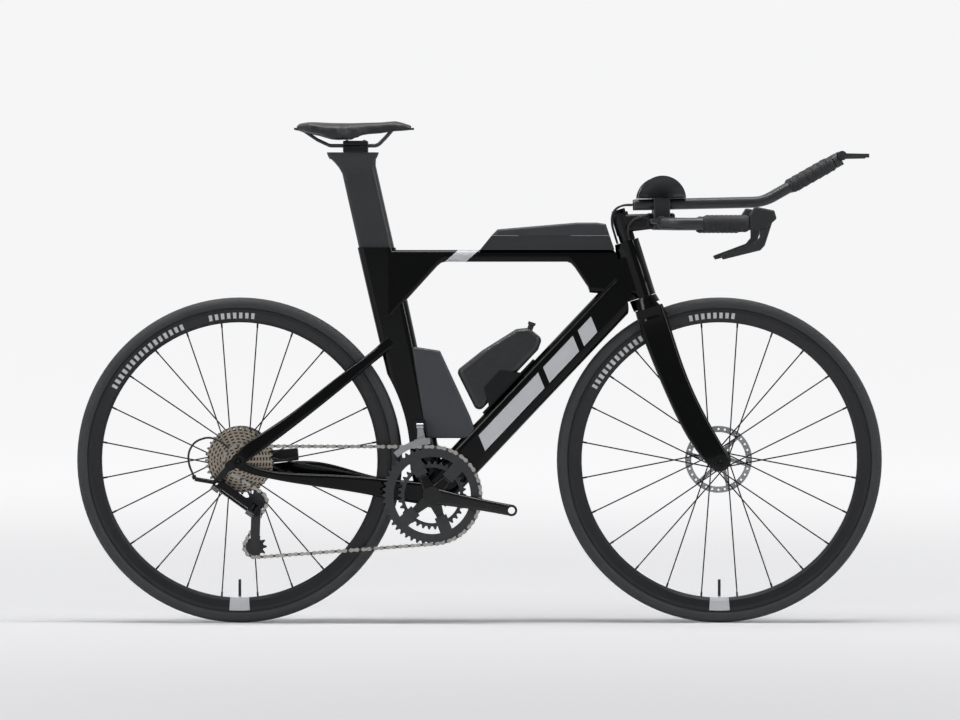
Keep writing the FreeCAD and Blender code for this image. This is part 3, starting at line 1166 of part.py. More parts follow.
fd_low = BIG_RING_Y - dim("fd_gap") / 2 - dim("fd_plate")
fd_high = BIG_RING_Y + dim("fd_gap") / 2
strip = cage_strip(cage_low, cage_low + dim("fd_height"), dim("fd_start_angle"), dim("fd_end_angle"))
roof = cage_strip(cage_low + dim("fd_height"), cage_low + dim("fd_height") + dim("fd_plate"),
                  dim("fd_start_angle") + 4, dim("fd_start_angle") + 16)
fd_plates = [slab(strip, low, low + dim("fd_plate")) for low in (fd_low, fd_high)]
fd_roof = slab(roof, fd_low, fd_high + dim("fd_plate"))
FD_PIVOT = Vector(on_ring(dim("fd_start_angle") + 8, cage_low + 40)[0], fd_high + 4,
                  on_ring(dim("fd_start_angle") + 8, cage_low + 40)[1])
fd_arm_low = cage_low + dim("fd_height") + dim("fd_plate") / 2
fd_arm = slab([on_ring(dim("fd_start_angle") + 5, fd_arm_low),
               on_ring(dim("fd_start_angle") + 13, fd_arm_low),
               on_ring(dim("fd_start_angle") + 10, cage_low + 40),
               on_ring(dim("fd_start_angle") + 6, cage_low + 40)],
              FD_PIVOT.y - 3, FD_PIVOT.y + 3)
fd_eye = rod(FD_PIVOT - FORWARD * 7, FD_PIVOT + FORWARD * 7, dim("fd_pivot_radius") + 3)
fd_hole = rod(FD_PIVOT - FORWARD * 20, FD_PIVOT + FORWARD * 20, dim("fd_pivot_radius") + dim("swing_fit"))
shaped("fd_cage", fd_plates[0].fuse([fd_plates[1], fd_roof, fd_arm, fd_eye]).cut(fd_hole))

fd_pin = rod(FD_PIVOT - FORWARD * 12, FD_PIVOT + FORWARD * 12, dim("fd_pivot_radius"))
fd_cheeks = []
for ahead in (-1, 1):
    cheek = Part.makeBox(4, 12, 14, FD_PIVOT + Vector(ahead * 9.6 - 2, -6, -7))
    fd_cheeks.append(cheek)
fd_bridge = Part.makeBox(23.2, 6, 24, FD_PIVOT + Vector(-11.6, 7, -12))
fd_strut = Part.makeBox(20, dim("seat_tube_width"), 16, FD_PIVOT + Vector(-13, 7, -8))
for cheek in list(fd_cheeks):
    fd_cheeks.append(Part.makeBox(4, 14, 14, Vector(cheek.BoundBox.XMin, FD_PIVOT.y, cheek.BoundBox.ZMin)))
fd_body = fd_bridge.fuse(fd_cheeks + [fd_strut, fd_pin]).cut(frame_solid)
shaped("front_derailleur", fd_body)


# Disc brake caliper with its two pads, reaching radially outward from the rotor's edge
def build_caliper(label, axle, heading, rotor_y, seat):
    radial = Vector(math.cos(heading), 0, math.sin(heading))
    aside = Vector(-math.sin(heading), 0, math.cos(heading))
    half = dim("caliper_height") / 2
    inner = dim("caliper_inner_radius")
    outer = inner + dim("caliper_length")

    def block(near, far, tall, low_y, high_y):
        spots = [axle + radial * reach + aside * rise
                 for reach, rise in ((near, -tall), (far, -tall), (far, tall), (near, tall))]
        return slab([(spot.x, spot.z) for spot in spots], low_y, high_y)

    wide = dim("caliper_width") / 2
    pad_face = dim("rotor_thickness") / 2 + dim("pad_gap")
    pad_back = pad_face + dim("pad_plate")
    body = softened(block(inner, outer, half, rotor_y - wide, rotor_y + wide), dim("pad_plate"))
    slot = block(inner - 5, dim("rotor_radius") + 3, half * 2, rotor_y - pad_back, rotor_y + pad_back)
    body = body.cut([slot, seat])
    body = max(body.Solids, key=lambda solid: solid.Volume)
    pads = [block(inner + 1, dim("rotor_radius") - 1, half - 4, low, low + dim("pad_plate")).cut(seat)
            for low in (rotor_y + pad_face, rotor_y - pad_back)]
    shaped(label, Part.makeCompound([body] + pads))


build_caliper("rear_caliper", REAR_AXLE, math.radians(5), dim("rear_rotor_offset"), left_stays)
build_caliper("front_caliper", FRONT_AXLE, math.radians(128), dim("front_rotor_offset"), fork)

# Top tube box: an open tub with a hinged lid, behind the head tube
box_front = HEAD_TOP.x - 28
box_rear = box_front - dim("top_box_length")
lid_line = top_edge + dim("top_box_height")
box_half = dim("top_box_width") / 2
wall = dim("top_box_wall")
tub = slab([(box_rear, top_edge), (box_front, top_edge), (box_front - 10, lid_line - dim("clearance")),
            (box_rear + 24, lid_line - dim("clearance"))], -box_half, box_half)
tub_room = slab([(box_rear + 12, top_edge + wall), (box_front - 6, top_edge + wall),
                 (box_front - 14, lid_line + wall), (box_rear + 34, lid_line + wall)], -box_half + wall,
                 box_half - wall)
hinge_start = Vector(box_rear + dim("hinge_rear"), box_half, lid_line)
hinge_end = hinge_start + FORWARD * dim("hinge_length")
hinge = rod(hinge_start, hinge_end, dim("hinge_radius"))
hinge_room = rod(hinge_start - FORWARD * dim("clearance"), hinge_end + FORWARD * dim("clearance"),
                 dim("hinge_radius") + dim("clearance"))
shaped("top_box", tub.cut([tub_room, hinge_room]))
lid_top = lid_line + dim("top_lid_height")
lid_outline = [(box_rear + 24, lid_line), (box_front - 10, lid_line), (box_front - 18, lid_top - 3),
               (box_front - 36, lid_top), (box_rear + 202, lid_top), (box_rear + 37, lid_line + 13)]
lid_solid = slab(lid_outline, -box_half, box_half)
long_edges = [edge for edge in lid_solid.Edges
              if abs(edge.Vertexes[0].Y) == abs(edge.Vertexes[-1].Y) and edge.CenterOfMass.z > lid_line + 1
              and abs(edge.CenterOfMass.y) > 1]
lid_solid = lid_solid.makeFillet(dim("top_box_round"), long_edges)
lid_room = slab([(box_rear + 34, lid_line - 1), (box_front - 15, lid_line - 1),
                 (box_front - 22, lid_top - 8),
                 (box_rear + 202, lid_top - 6), (box_rear + 48, lid_line + 12)], -box_half + wall,
                 box_half - wall)
shaped("top_box_lid", lid_solid.cut(lid_room).fuse(hinge))

# Storage box in the lower corner of the front triangle
frame_box = slab([(BB_X - 43, BB_CENTRE.z + 309), (BB_X + 16, BB_CENTRE.z + 300),
                  (BB_X + 79, BB_CENTRE.z + 163),
                  (BB_X + 95, BB_CENTRE.z + 118), (BB_X - 12, BB_CENTRE.z + 118)],
                 -dim("frame_box_width") / 2, dim("frame_box_width") / 2)
frame_box = softened(frame_box, dim("frame_box_round")).cut([frame_solid, fd_body])
shaped("frame_box", max(frame_box.Solids, key=lambda solid: solid.Volume))


# Bottle: flat-sided, in a cage on the upper face of the down tube
def on_down_tube(along, off):
    spot = BB_CENTRE + down_run * along + down_across * off
    return (spot.x, spot.z)


bottle_half = dim("bottle_width") / 2
bottle_seat = dim("bottle_seat")
outline = [(188, bottle_seat), (371, bottle_seat), (394, bottle_seat + 10), (391, bottle_seat + 46),
           (371, bottle_seat + 63), (290, bottle_seat + 84), (222, bottle_seat + 94)]
whole = slab([on_down_tube(along, off) for along, off in outline], -bottle_half, bottle_half)
whole = softened(whole, dim("bottle_round"))
cap_start = dim("cap_start")
cap_room = slab([on_down_tube(cap_start, -50), on_down_tube(cap_start + 300, -50),
                 on_down_tube(cap_start + 300, 300), on_down_tube(cap_start, 300)], -100, 100)
shaped("bottle", whole.cut(cap_room))
valve_foot = Vector(on_down_tube(386, bottle_seat + 40)[0], 0, on_down_tube(386, bottle_seat + 40)[1])
valve_run = (down_run + down_across * 0.45).normalize()
valve_bore = rod(valve_foot - valve_run * 12, valve_foot + valve_run * 60, dim("valve_cap_radius") + 0.4)
shaped("bottle_cap", whole.common(cap_room).cut(valve_bore))
spout = rod(valve_foot - valve_run * 11, valve_foot + valve_run * 20, dim("valve_cap_radius"))
spout = spout.fuse(rod(valve_foot + valve_run * 14, valve_foot + valve_run * 20,
                       dim("valve_cap_radius") + 2))
shaped("bottle_valve", spout)

cage_floor = dim("down_tube_depth") / 2
grip = dim("cage_wall")
base = slab([on_down_tube(196, cage_floor), on_down_tube(350, cage_floor),
             on_down_tube(350, cage_floor + dim("cage_base")),
             on_down_tube(196, cage_floor + dim("cage_base"))], -9, 9)
shelf_low = cage_floor + dim("cage_base")
shelf = slab([on_down_tube(216, shelf_low), on_down_tube(310, shelf_low),
              on_down_tube(310, shelf_low + grip), on_down_tube(216, shelf_low + grip)],
             -bottle_half - dim("clearance") - grip, bottle_half + dim("clearance") + grip)
wings = []
for low in (-bottle_half - dim("clearance") - grip, bottle_half + dim("clearance")):
    wings.append(slab([on_down_tube(216, shelf_low), on_down_tube(310, shelf_low),
                       on_down_tube(286, shelf_low + dim("cage_grip")),
                       on_down_tube(236, shelf_low + dim("cage_grip"))], low, low + grip))
shaped("bottle_cage", base.fuse([shelf] + wings))

# Saddle clamp: a cradle and a cap that grip the two rails
rail_level = dim("post_head_height") + dim("post_head_thickness") + dim("rail_radius") * 4
clamp_x = post_top.x - 2
rail_y = dim("rail_spacing") / 2
straight_rails = [rod(Vector(clamp_x - 100, side * rail_y, rail_level),
                      Vector(clamp_x + 100, side * rail_y, rail_level),
                      dim("rail_radius") + dim("rail_fit")) for side in (-1, 1)]
clamp_low = dim("post_head_height") + dim("post_head_thickness")


def clamp_half(low, high):
    block = Part.makeBox(dim("clamp_length"), dim("clamp_width"), high - low,
                         Vector(clamp_x - dim("clamp_length") / 2, -dim("clamp_width") / 2, low))
    return softened(block, 2.5).cut(straight_rails)


clamp_bolts = [rod(Vector(clamp_x + off, 0, clamp_low + 2),
                   Vector(clamp_x + off, 0, clamp_low + dim("clamp_height") + 2), 3)
               for off in (-18, 18)]
cradle = clamp_half(clamp_low, rail_level - dim("clearance") / 2).cut(clamp_bolts)
cap = clamp_half(rail_level + dim("clearance") / 2, clamp_low + dim("clamp_height")).cut(clamp_bolts)
shaped("saddle_clamp", Part.makeCompound([cradle, cap] + clamp_bolts))

# Saddle: a padded cover on a shell, with two rails bent down to the clamp
nose_x = dim("saddle_nose_x")
tail_x = nose_x - dim("saddle_length")
top = dim("saddle_height")
half_wide = dim("saddle_width") / 2
half_nose = dim("saddle_nose_width") / 2
saddle_stations = (
    (tail_x, half_wide * 0.62, top - 8, top - 20, 0),
    (tail_x + 34, half_wide, top - 4, top - 29, 0),
    (tail_x + 85, half_wide * 0.86, top - 6, dim("saddle_edge") + 3, 8),
    (tail_x + 120, half_wide * 0.6, top - 6, dim("saddle_edge"), 11),
    (tail_x + 165, half_nose * 1.2, top - 4, top - 28, 0),
    (nose_x - 30, half_nose, top - 1, top - 22, 0),
    (nose_x, half_nose * 0.66, top - 8, top - 20, 0),
)


# Stations in between, eased from each given one to the next
def eased(stations, steps):
    filled = [stations[0]]
    for first, last in zip(stations, stations[1:]):
        for step in range(1, steps + 1):
            share = step / steps
            ease = share * share * (3 - 2 * share)
            row = [start + (end - start) * ease for start, end in zip(first, last)]
            row[0] = first[0] + (last[0] - first[0]) * share
            filled.append(tuple(row))
    return filled


# Half width of the arched underside that clears the clamp
def arch_half(half):
    return min(dim("saddle_arch"), half * 0.78)


def saddle_wire(x, half, high, low, rise):
    deck = low + dim("shell_thickness") + dim("seat_gap")
    corner = Vector(x, half * 0.74, high - 3)
    bulge = Vector(x, half, (high + low) / 2)
    edge = Vector(x, half * 0.86, low)
    foot = Vector(x, arch_half(half), low)
    roof = Vector(x, arch_half(half) * 0.97, deck + rise)
    left = [Vector(x, -spot.y, spot.z) for spot in (corner, bulge, edge, foot, roof)]
    return Part.Wire([
        Part.makeLine(left[4], roof),
        Part.makeLine(roof, foot),
        Part.makeLine(foot, edge),
        Part.Arc(edge, bulge, corner).toShape(),
        Part.Arc(corner, Vector(x, 0, high), left[0]).toShape(),
        Part.Arc(left[0], left[1], left[2]).toShape(),
        Part.makeLine(left[2], left[3]),
        Part.makeLine(left[3], left[4]),
    ])


def shell_wire(x, half, low, rise):
    wide = arch_half(half) * 0.97 - dim("seat_gap")
    under = low + rise
    ring = [Vector(x, -wide, under), Vector(x, wide, under),
            Vector(x, wide, under + dim("shell_thickness")),
            Vector(x, -wide, under + dim("shell_thickness"))]
    return Part.makePolygon(ring + [ring[0]])


rail_pieces = []
for side in (-1, 1):
    route = [(tail_x + 20, 1, top - 22), (tail_x + 48, 1, rail_level + 12), (tail_x + 74, 1, rail_level),
             (nose_x - 76, 1, rail_level), (nose_x - 60, 0.8, rail_level + 16),
             (nose_x - 44, 0.55, top - 19)]
    points = [Vector(x, side * rail_y * spread, z) for x, spread, z in route]
    rail_pieces.append(bent_tube(points, dim("rail_radius"), dim("rail_radius") * 5))
shaped("saddle_rails", Part.makeCompound(rail_pieces))
sections = eased(saddle_stations, 4)
pad = loft([saddle_wire(*station) for station in sections], True)
shaped("saddle_pad", pad.cut(rail_pieces))
shell = loft([shell_wire(x, half, low, rise) for x, half, high, low, rise in sections], True)
shaped("saddle_shell", shell.cut(rail_pieces))


# Stem: a spacer and a clamp on the steerer, with an arm forward to the base bar
def on_steerer(rise):
    return HEAD_TOP + STEER_UP * rise


BAR = HEAD_TOP + FORWARD * dim("bar_ahead") + UPWARD * dim("bar_up")
wing_half = dim("wing_chord") / 2
spacer_low = dim("clearance")
spacer = rod(on_steerer(spacer_low), on_steerer(dim("spacer_height")), dim("spacer_radius"))
clamp_top = dim("spacer_height") + dim("stem_clamp_height")
clamp = rod(on_steerer(dim("spacer_height")), on_steerer(clamp_top), dim("stem_clamp_radius"))
clamp_mid = on_steerer(dim("spacer_height") + dim("stem_clamp_height") / 2)
neck = loft([
    boxed(clamp_mid, UPWARD, 19, LEFTWARD, dim("stem_clamp_radius") - 3, 8),
    boxed(BAR - FORWARD * (wing_half * 0.6), UPWARD, 16, LEFTWARD, 25, 8),
])
jaw = softened(Part.makeBox(dim("wing_chord") + 10, 50, 34, BAR + Vector(-wing_half - 6, -25, -17)), 6)
wing_wires = []
for side in (-1, 0, 1):
    spot = BAR + LEFTWARD * (side * (dim("bar_half_width") - dim("bar_bend") / 2))
    wing_wires.append(section(spot, FORWARD, UPWARD, wing_half, wing_half, dim("wing_thickness"),
                              dim("wing_thickness") / 2))
wing = loft(wing_wires)
shaft = rod(on_steerer(-50), on_steerer(200), dim("steerer_radius"))
stem = clamp.fuse([neck, jaw]).cut([shaft, wing])
shaped("stem", Part.makeCompound([stem, spacer.cut(shaft)]))

# Base bar: a wing across the bike with a forward arm at each end
arms = []
tapes = []
arm_tip_x = BAR.x + dim("bar_reach")
arm_z = BAR.z - dim("bar_drop")
for side in (-1, 1):
    elbow = Vector(BAR.x - 2, side * dim("bar_half_width"), arm_z)
    root = Vector(BAR.x - 2, side * (dim("bar_half_width") - dim("bar_bend") * 1.6), BAR.z - 2)
    tip = Vector(arm_tip_x, side * dim("bar_half_width"), arm_z)
    arms.append(bent_tube([root, elbow, tip], dim("bar_tube_radius"), dim("bar_bend")))
    start = Vector(BAR.x + dim("tape_start"), side * dim("bar_half_width"), arm_z)
    sleeve = rod(start, tip, dim("bar_tube_radius") + dim("tape_thickness"))
    tapes.append(sleeve.cut(rod(start - FORWARD, tip + FORWARD, dim("bar_tube_radius"))))
shaped("base_bar", wing.fuse(arms))

# Brake hoods and levers at the ends of the base bar
LEVER_PIVOT_X = arm_tip_x + dim("hood_reach") * 0.57
LEVER_PIVOT_Z = arm_z + 15
hood_outline = [(arm_tip_x, arm_z - 14), (arm_tip_x + 34, arm_z - 10),
                (arm_tip_x + dim("hood_reach"), arm_z + 10),
                (arm_tip_x + dim("hood_reach") - 5, arm_z + 27), (arm_tip_x + 11, arm_z + 35),
                (arm_tip_x, arm_z + 18)]
slot_outline = [(arm_tip_x + 3, arm_z - 40), (arm_tip_x + 90, arm_z - 40),
                (arm_tip_x + 90, LEVER_PIVOT_Z + 16),
                (LEVER_PIVOT_X - 15, LEVER_PIVOT_Z + 16), (arm_tip_x + 3, arm_z + 2)]
lever_outline = [(12, 7), (16, -10), (0, -60), (-9, -70), (-86, -89), (-91, -81), (-21, -55), (-11, -43),
                 (-11, -10), (-9, 9)]
hoods = []
for side, name in ((-1, "right"), (1, "left")):
    middle = side * dim("bar_half_width")
    slot_half = dim("lever_thickness") / 2 + dim("lever_gap")
    hood = softened(slab(hood_outline, middle - dim("hood_width") / 2, middle + dim("hood_width") / 2), 5)
    hood = hood.cut(slab(slot_outline, middle - slot_half, middle + slot_half))
    hood = hood.fuse(across(LEVER_PIVOT_X, LEVER_PIVOT_Z, dim("lever_pin_radius"),
                            middle - slot_half - 2, middle + slot_half + 2))
    hoods.append(hood)
    corners = [(LEVER_PIVOT_X + x, LEVER_PIVOT_Z + z) for x, z in lever_outline]
    lever = slab(corners, middle - dim("lever_thickness") / 2, middle + dim("lever_thickness") / 2)
    lever = softened(lever, 2.4).cut(across(LEVER_PIVOT_X, LEVER_PIVOT_Z,
                                            dim("lever_pin_radius") + dim("swing_fit"), middle - 50,
                                            middle + 50))
    shaped("brake_lever_" + name, lever)
shaped("brake_hoods", Part.makeCompound(hoods))

# Aero extensions: a straight tube, a rising bend and a wrapped grip with a shifter in its end
extension_z = BAR.z + dim("extension_rise")
tilt = math.radians(dim("extension_tilt"))
GRIP_RUN = Vector(math.cos(tilt), 0, math.sin(tilt))
tubes = []
bodies = []
rests = []
pads = []
for side, name in ((-1, "right"), (1, "left")):
    off = side * dim("extension_spacing") / 2
    rear = Vector(BAR.x - dim("extension_back"), off, extension_z)
    knee = rear + FORWARD * dim("extension_straight") + UPWARD * 6
    tip = knee + GRIP_RUN * dim("extension_tip")
    tube = bent_tube([rear, knee, tip], dim("extension_radius"), dim("extension_bend"))
    tubes.append(tube)
    start = tip - GRIP_RUN * dim("grip_length")
    sleeve = rod(start, tip, dim("extension_radius") + dim("tape_thickness"))
    tapes.append(sleeve.cut(rod(start - GRIP_RUN, tip + GRIP_RUN, dim("extension_radius"))))

    pivot = tip + GRIP_RUN * 19 + UPWARD * 4
    pod = rod(tip, tip + GRIP_RUN * 16, dim("shift_body_radius"))
    half_lever = dim("shift_lever_thickness") / 2
    boss_near = off - side * 10
    boss_far = off + side * (2 - half_lever)
    boss = across(pivot.x, pivot.z, dim("shift_pivot_radius"), boss_near, boss_far)
    pin = across(pivot.x, pivot.z, 3, boss_far, boss_far + side * (2 * half_lever + 2 * dim("clearance")))
    lever_start = boss_far + side * dim("clearance")
    lever_end = lever_start + side * 2 * half_lever
    paddle_room = across(pivot.x, pivot.z, dim("shift_pivot_radius") + 2, boss_far, boss_far + side * 40)
    swept = slab([(pivot.x, pivot.z - 40), (pivot.x + 70, pivot.z - 40), (pivot.x + 70, pivot.z + 40),
                  (pivot.x, pivot.z + 40)], min(boss_far, boss_far + side * 40),
                  max(boss_far, boss_far + side * 40))
    bodies.append(pod.cut([paddle_room, swept]).fuse([boss, pin]))
    low, high = sorted((lever_start, lever_end))
    wide = dim("shift_lever_width") / 2
    paddle = slab([(pivot.x, pivot.z - wide), (pivot.x + dim("shift_lever_length"), pivot.z - wide + 1),
                   (pivot.x + dim("shift_lever_length"), pivot.z + wide - 1), (pivot.x, pivot.z + wide)],
                   low, high)
    disc = across(pivot.x, pivot.z, dim("shift_pivot_radius"), low, high)
    shaped("shift_lever_" + name, paddle.fuse(disc).cut(
        across(pivot.x, pivot.z, 3 + dim("swing_fit"), low - 1, high + 1)))

    # Elbow cup, its pad, and the riser block that clamps extension and wing
    cup_y = side * dim("cup_spacing") / 2
    cup_z = BAR.z + dim("cup_rise")
    cup_foot = cup_z - dim("cup_radius") - dim("cup_edge")
    reach = dim("cup_length")

    def trough(radius):
        return Part.makeCylinder(radius, reach * 2, Vector(BAR.x - reach, cup_y, cup_z), FORWARD)

    def dome(length, height):
        ring = Part.Ellipse(Vector(BAR.x, cup_y, cup_foot), max(length / 2, height),
                            min(length / 2, height))
        ring.Axis = LEFTWARD
        ring.XAxis = FORWARD if length / 2 > height else UPWARD
        face = Part.Face(Part.Wire(ring.toShape()))
        face.translate(LEFTWARD * -reach)
        above = Part.makeBox(reach * 4, reach * 4, reach * 2,
                             Vector(BAR.x - reach * 2, cup_y - reach * 2, cup_foot))
        return face.extrude(LEFTWARD * reach * 2).common(above)

    inner = dim("cup_radius") - dim("cup_wall")
    cup = trough(dim("cup_radius")).cut(trough(inner)).common(dome(reach, dim("cup_height")))
    pad_outer = inner - dim("seat_gap")
    pad = trough(pad_outer).cut(trough(pad_outer - dim("arm_pad_thickness")))
    pad = pad.common(dome(reach - 2 * dim("pad_inset"), dim("cup_height") - dim("pad_inset")))
    pads.append(pad)
    block = Part.makeBox(dim("riser_length"), dim("riser_width"), cup_z - BAR.z - dim("cup_radius") + 22,
                         Vector(BAR.x - dim("riser_length") / 2, off - dim("riser_width") / 2, BAR.z - 18))
    rests += [cup, softened(block, 3).cut([tube, wing, trough(dim("cup_radius"))])]
shaped("extensions", Part.makeCompound(tubes))
shaped("grip_tape", Part.makeCompound(tapes))
shaped("shifter_bodies", Part.makeCompound(bodies))
shaped("arm_rests", Part.makeCompound(rests))
shaped("arm_pads", Part.makeCompound(pads))


# Cable route with each bend as large as its two runs allow
def cord(points, radius):
    edges = []
    cursor = points[0]
    bends = []
    for before, corner, after in zip(points, points[1:], points[2:]):
        into = (corner - before).normalize()
        out = (after - corner).normalize()
        half_turn = math.acos(max(-1, min(1, into.dot(out)))) / 2
        trim = 0.45 * min((corner - before).Length, (after - corner).Length)
        bend = trim / math.tan(half_turn)
        bends.append(round(bend, 1))
        heart = (out - into).normalize()
        apex = corner + heart * (bend / math.cos(half_turn) - bend)
        edges.append(Part.makeLine(cursor, corner - into * trim))
        edges.append(Part.Arc(corner - into * trim, apex, corner + out * trim).toShape())
        cursor = corner + out * trim
    edges.append(Part.makeLine(cursor, points[-1]))
    path = Part.Wire(edges)
    ring = Part.Wire(Part.makeCircle(radius, points[0], points[1] - points[0]))
    tube = path.makePipeShell([ring], True, False)
    print("cord length", round(path.Length, 1), "bends", bends, "volume share",
          round(tube.Volume / (path.Length * math.pi * radius ** 2), 4))
    return tube


# Brake hoses and shift housings from the bars into the top of the head cover
hoses = []
for side in (-1, 1):
    port = on_steerer(dim("clearance") + 0.2)
    rear = Vector(BAR.x - dim("extension_back"), side * dim("extension_spacing") / 2, extension_z)
    hoses.append(cord([
        rear - FORWARD * dim("housing_radius"),
        rear + Vector(-20, -side * 5, 0),
        rear + Vector(-37, -side * 17, -7),
        rear + Vector(-45, -side * 32, -22),
        rear + Vector(-45, -side * 45, -42),
        port - STEER_AHEAD * 22 + LEFTWARD * (side * 5) + STEER_UP * 14,
        port - STEER_AHEAD * 22 + LEFTWARD * (side * 5),
    ], dim("housing_radius")))
    entry = port + STEER_AHEAD * 4 + LEFTWARD * (side * 20.6)
    bend = entry + STEER_UP * 17.6
    hose = cord([
        bend + Vector(48.9, side * 8.4, 25.7),
        bend + Vector(29.9, side * 6.4, 31.7),
        bend + Vector(13.9, side * 4.4, 26.2),
        bend + Vector(3.4, side * 1.9, 14.7),
        bend,
        entry,
    ], dim("hose_radius"))
    hoses.append(max(hose.cut(wing).Solids, key=lambda solid: solid.Volume))
shaped("cockpit_hoses", Part.makeCompound(hoses))

# Rear shift housing: out of the dropout, round behind the wheel and into the derailleur barrel
housing = cord([
    REAR_AXLE + Vector(-19, -76, 26),
    REAR_AXLE + Vector(-36, -77, 42),
    REAR_AXLE + Vector(-62, -80, 51),
    REAR_AXLE + Vector(-90, -84, 41),
    REAR_AXLE + Vector(-103, -87, 19),
    REAR_AXLE + Vector(-102, -89, -6),
    barrel_mouth,
], dim("housing_radius"))
shaped("rear_shift_housing", housing.cut(right_stays))

# Every object has to be sound before any file is written
doc.recompute()
for item in doc.Objects:
    if "Invalid" in item.State or "Error" in item.State:
        raise RuntimeError("%s failed: %s" % (item.Label, item.State))
for label, item in nodes.items():
    if item.Shape.isNull() or not item.Shape.isValid():
        raise RuntimeError("%s has no sound shape" % label)

os.makedirs("parts", exist_ok=True)
for label, item in nodes.items():
    item.Shape.exportStep("parts/%s.step" % label)
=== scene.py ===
import bpy
import bmesh
import json
import math
from mathutils import Matrix, Vector


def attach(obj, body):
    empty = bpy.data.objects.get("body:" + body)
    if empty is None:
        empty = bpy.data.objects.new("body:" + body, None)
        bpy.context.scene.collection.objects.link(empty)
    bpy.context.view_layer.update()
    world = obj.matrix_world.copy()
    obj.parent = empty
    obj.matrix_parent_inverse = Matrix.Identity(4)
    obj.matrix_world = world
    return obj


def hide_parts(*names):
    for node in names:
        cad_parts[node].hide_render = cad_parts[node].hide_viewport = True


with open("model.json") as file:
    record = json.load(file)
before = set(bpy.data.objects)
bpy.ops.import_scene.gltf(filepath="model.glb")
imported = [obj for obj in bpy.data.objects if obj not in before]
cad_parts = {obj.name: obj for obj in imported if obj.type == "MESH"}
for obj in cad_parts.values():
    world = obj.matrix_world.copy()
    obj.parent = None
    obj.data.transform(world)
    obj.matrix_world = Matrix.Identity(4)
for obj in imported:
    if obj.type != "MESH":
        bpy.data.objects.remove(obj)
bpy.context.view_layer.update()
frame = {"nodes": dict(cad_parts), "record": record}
nodes = frame["nodes"]
scene = bpy.context.scene
scene.view_settings.view_transform = "Standard"


# Camera: a long lens square to the drive side, a little above the hubs and tipped down by one degree,
# so that both wheels stand as true circles.
def placed(name, data):
    made = bpy.data.objects.new(name, data)
    scene.collection.objects.link(made)
    return made


lens = bpy.data.cameras.new("camera")
lens.sensor_width = 36.0
lens.lens = 215.9
lens.clip_end = 60.0
camera = placed("camera", lens)
camera.location = (0.001, -12.0, 0.757)
camera.rotation_euler = (math.radians(89.0), 0.0, 0.0)
scene.camera = camera


# Studio: a wide matt white floor, open on every side, that takes the soft shadow under the tyres.
# The room is white behind the bike and dimmer on the camera's side. Floor and room glow only for what
# sees them straight or in a reflection; all that the room adds to the lamps on the bike is a faint fill.
def add(tree, kind, sockets=None, **settings):
    made = tree.nodes.new("ShaderNode" + kind)
    for name, value in settings.items():
        setattr(made, name, value)
    for name, value in (sockets or {}).items():
        if isinstance(value, bpy.types.NodeSocket):
            tree.links.new(value, made.inputs[name])
        else:
            made.inputs[name].default_value = value
    return made.outputs


def seen_by_eye(tree):
    ray = add(tree, "LightPath")
    seen = ray["Is Camera Ray"]
    for kind in ("Is Glossy Ray", "Is Transmission Ray"):
        seen = add(tree, "Math", {0: seen, 1: ray[kind]}, operation="MAXIMUM")[0]
    return seen


FLOOR_REACH = 60.0
FLOOR_WHITE = 0.82
FLOOR_COLOUR = (FLOOR_WHITE, FLOOR_WHITE, 1.02 * FLOOR_WHITE, 1.0)
GLOW_COLOUR = (1.0, 1.0, 1.01, 1.0)
DIM_SIDE, WHITE_SIDE = 0.27, 0.92
ROOM_FILL = 0.05
FLOOR_DIM_Y, FLOOR_WHITE_Y = -18.0, -9.0
ROOM_DIM_Y, ROOM_WHITE_Y = -0.5, 0.3
LIT_CENTRE, LIT_REACH = (0.0, -1.0, 0.0), 4.6
corners = [(x * FLOOR_REACH, y * FLOOR_REACH, 0.0) for x, y in ((-1, -1), (1, -1), (1, 1), (-1, 1))]
floor_mesh = bpy.data.meshes.new("floor")
floor_mesh.from_pydata(corners, [], [(0, 1, 2, 3)])
floor = placed("floor", floor_mesh)
matt_white = bpy.data.materials.new("matt_white")
matt_white.use_nodes = True
floor_tree = matt_white.node_tree
floor_shader = floor_tree.nodes["Principled BSDF"]
floor_place = add(floor_tree, "TexCoord")["Object"]
depth = add(floor_tree, "SeparateXYZ", {0: floor_place})["Y"]
level = add(floor_tree, "MapRange", {"Value": depth, "From Min": FLOOR_DIM_Y, "From Max": FLOOR_WHITE_Y,
                                     "To Min": DIM_SIDE - FLOOR_WHITE * ROOM_FILL,
                                     "To Max": WHITE_SIDE - FLOOR_WHITE * ROOM_FILL})[0]

# The floor's glow takes over where the light of the lamps on it fades out
away = add(floor_tree, "VectorMath", {0: floor_place, 1: LIT_CENTRE}, operation="DISTANCE")["Value"]
fade = add(floor_tree, "Math", {0: away, 1: 1 / LIT_REACH}, operation="MULTIPLY")[0]
fade = add(floor_tree, "Math", {0: fade, 1: 2.0}, operation="POWER")[0]
fade = add(floor_tree, "Math", {0: fade, 1: -1.0}, operation="MULTIPLY")[0]
fade = add(floor_tree, "Math", {0: fade}, operation="EXPONENT")[0]
fade = add(floor_tree, "Math", {0: 1.0, 1: fade}, operation="SUBTRACT")[0]
glow = add(floor_tree, "Math", {0: level, 1: fade}, operation="MULTIPLY")[0]
glow = add(floor_tree, "Math", {0: glow, 1: seen_by_eye(floor_tree)}, operation="MULTIPLY")[0]
floor_tree.links.new(glow, floor_shader.inputs["Emission Strength"])
floor_shader.inputs["Emission Color"].default_value = GLOW_COLOUR
floor_shader.inputs["Base Color"].default_value = FLOOR_COLOUR
floor_shader.inputs["Roughness"].default_value = 1.0
floor_shader.inputs["Specular IOR Level"].default_value = 0.0
floor_mesh.materials.append(matt_white)

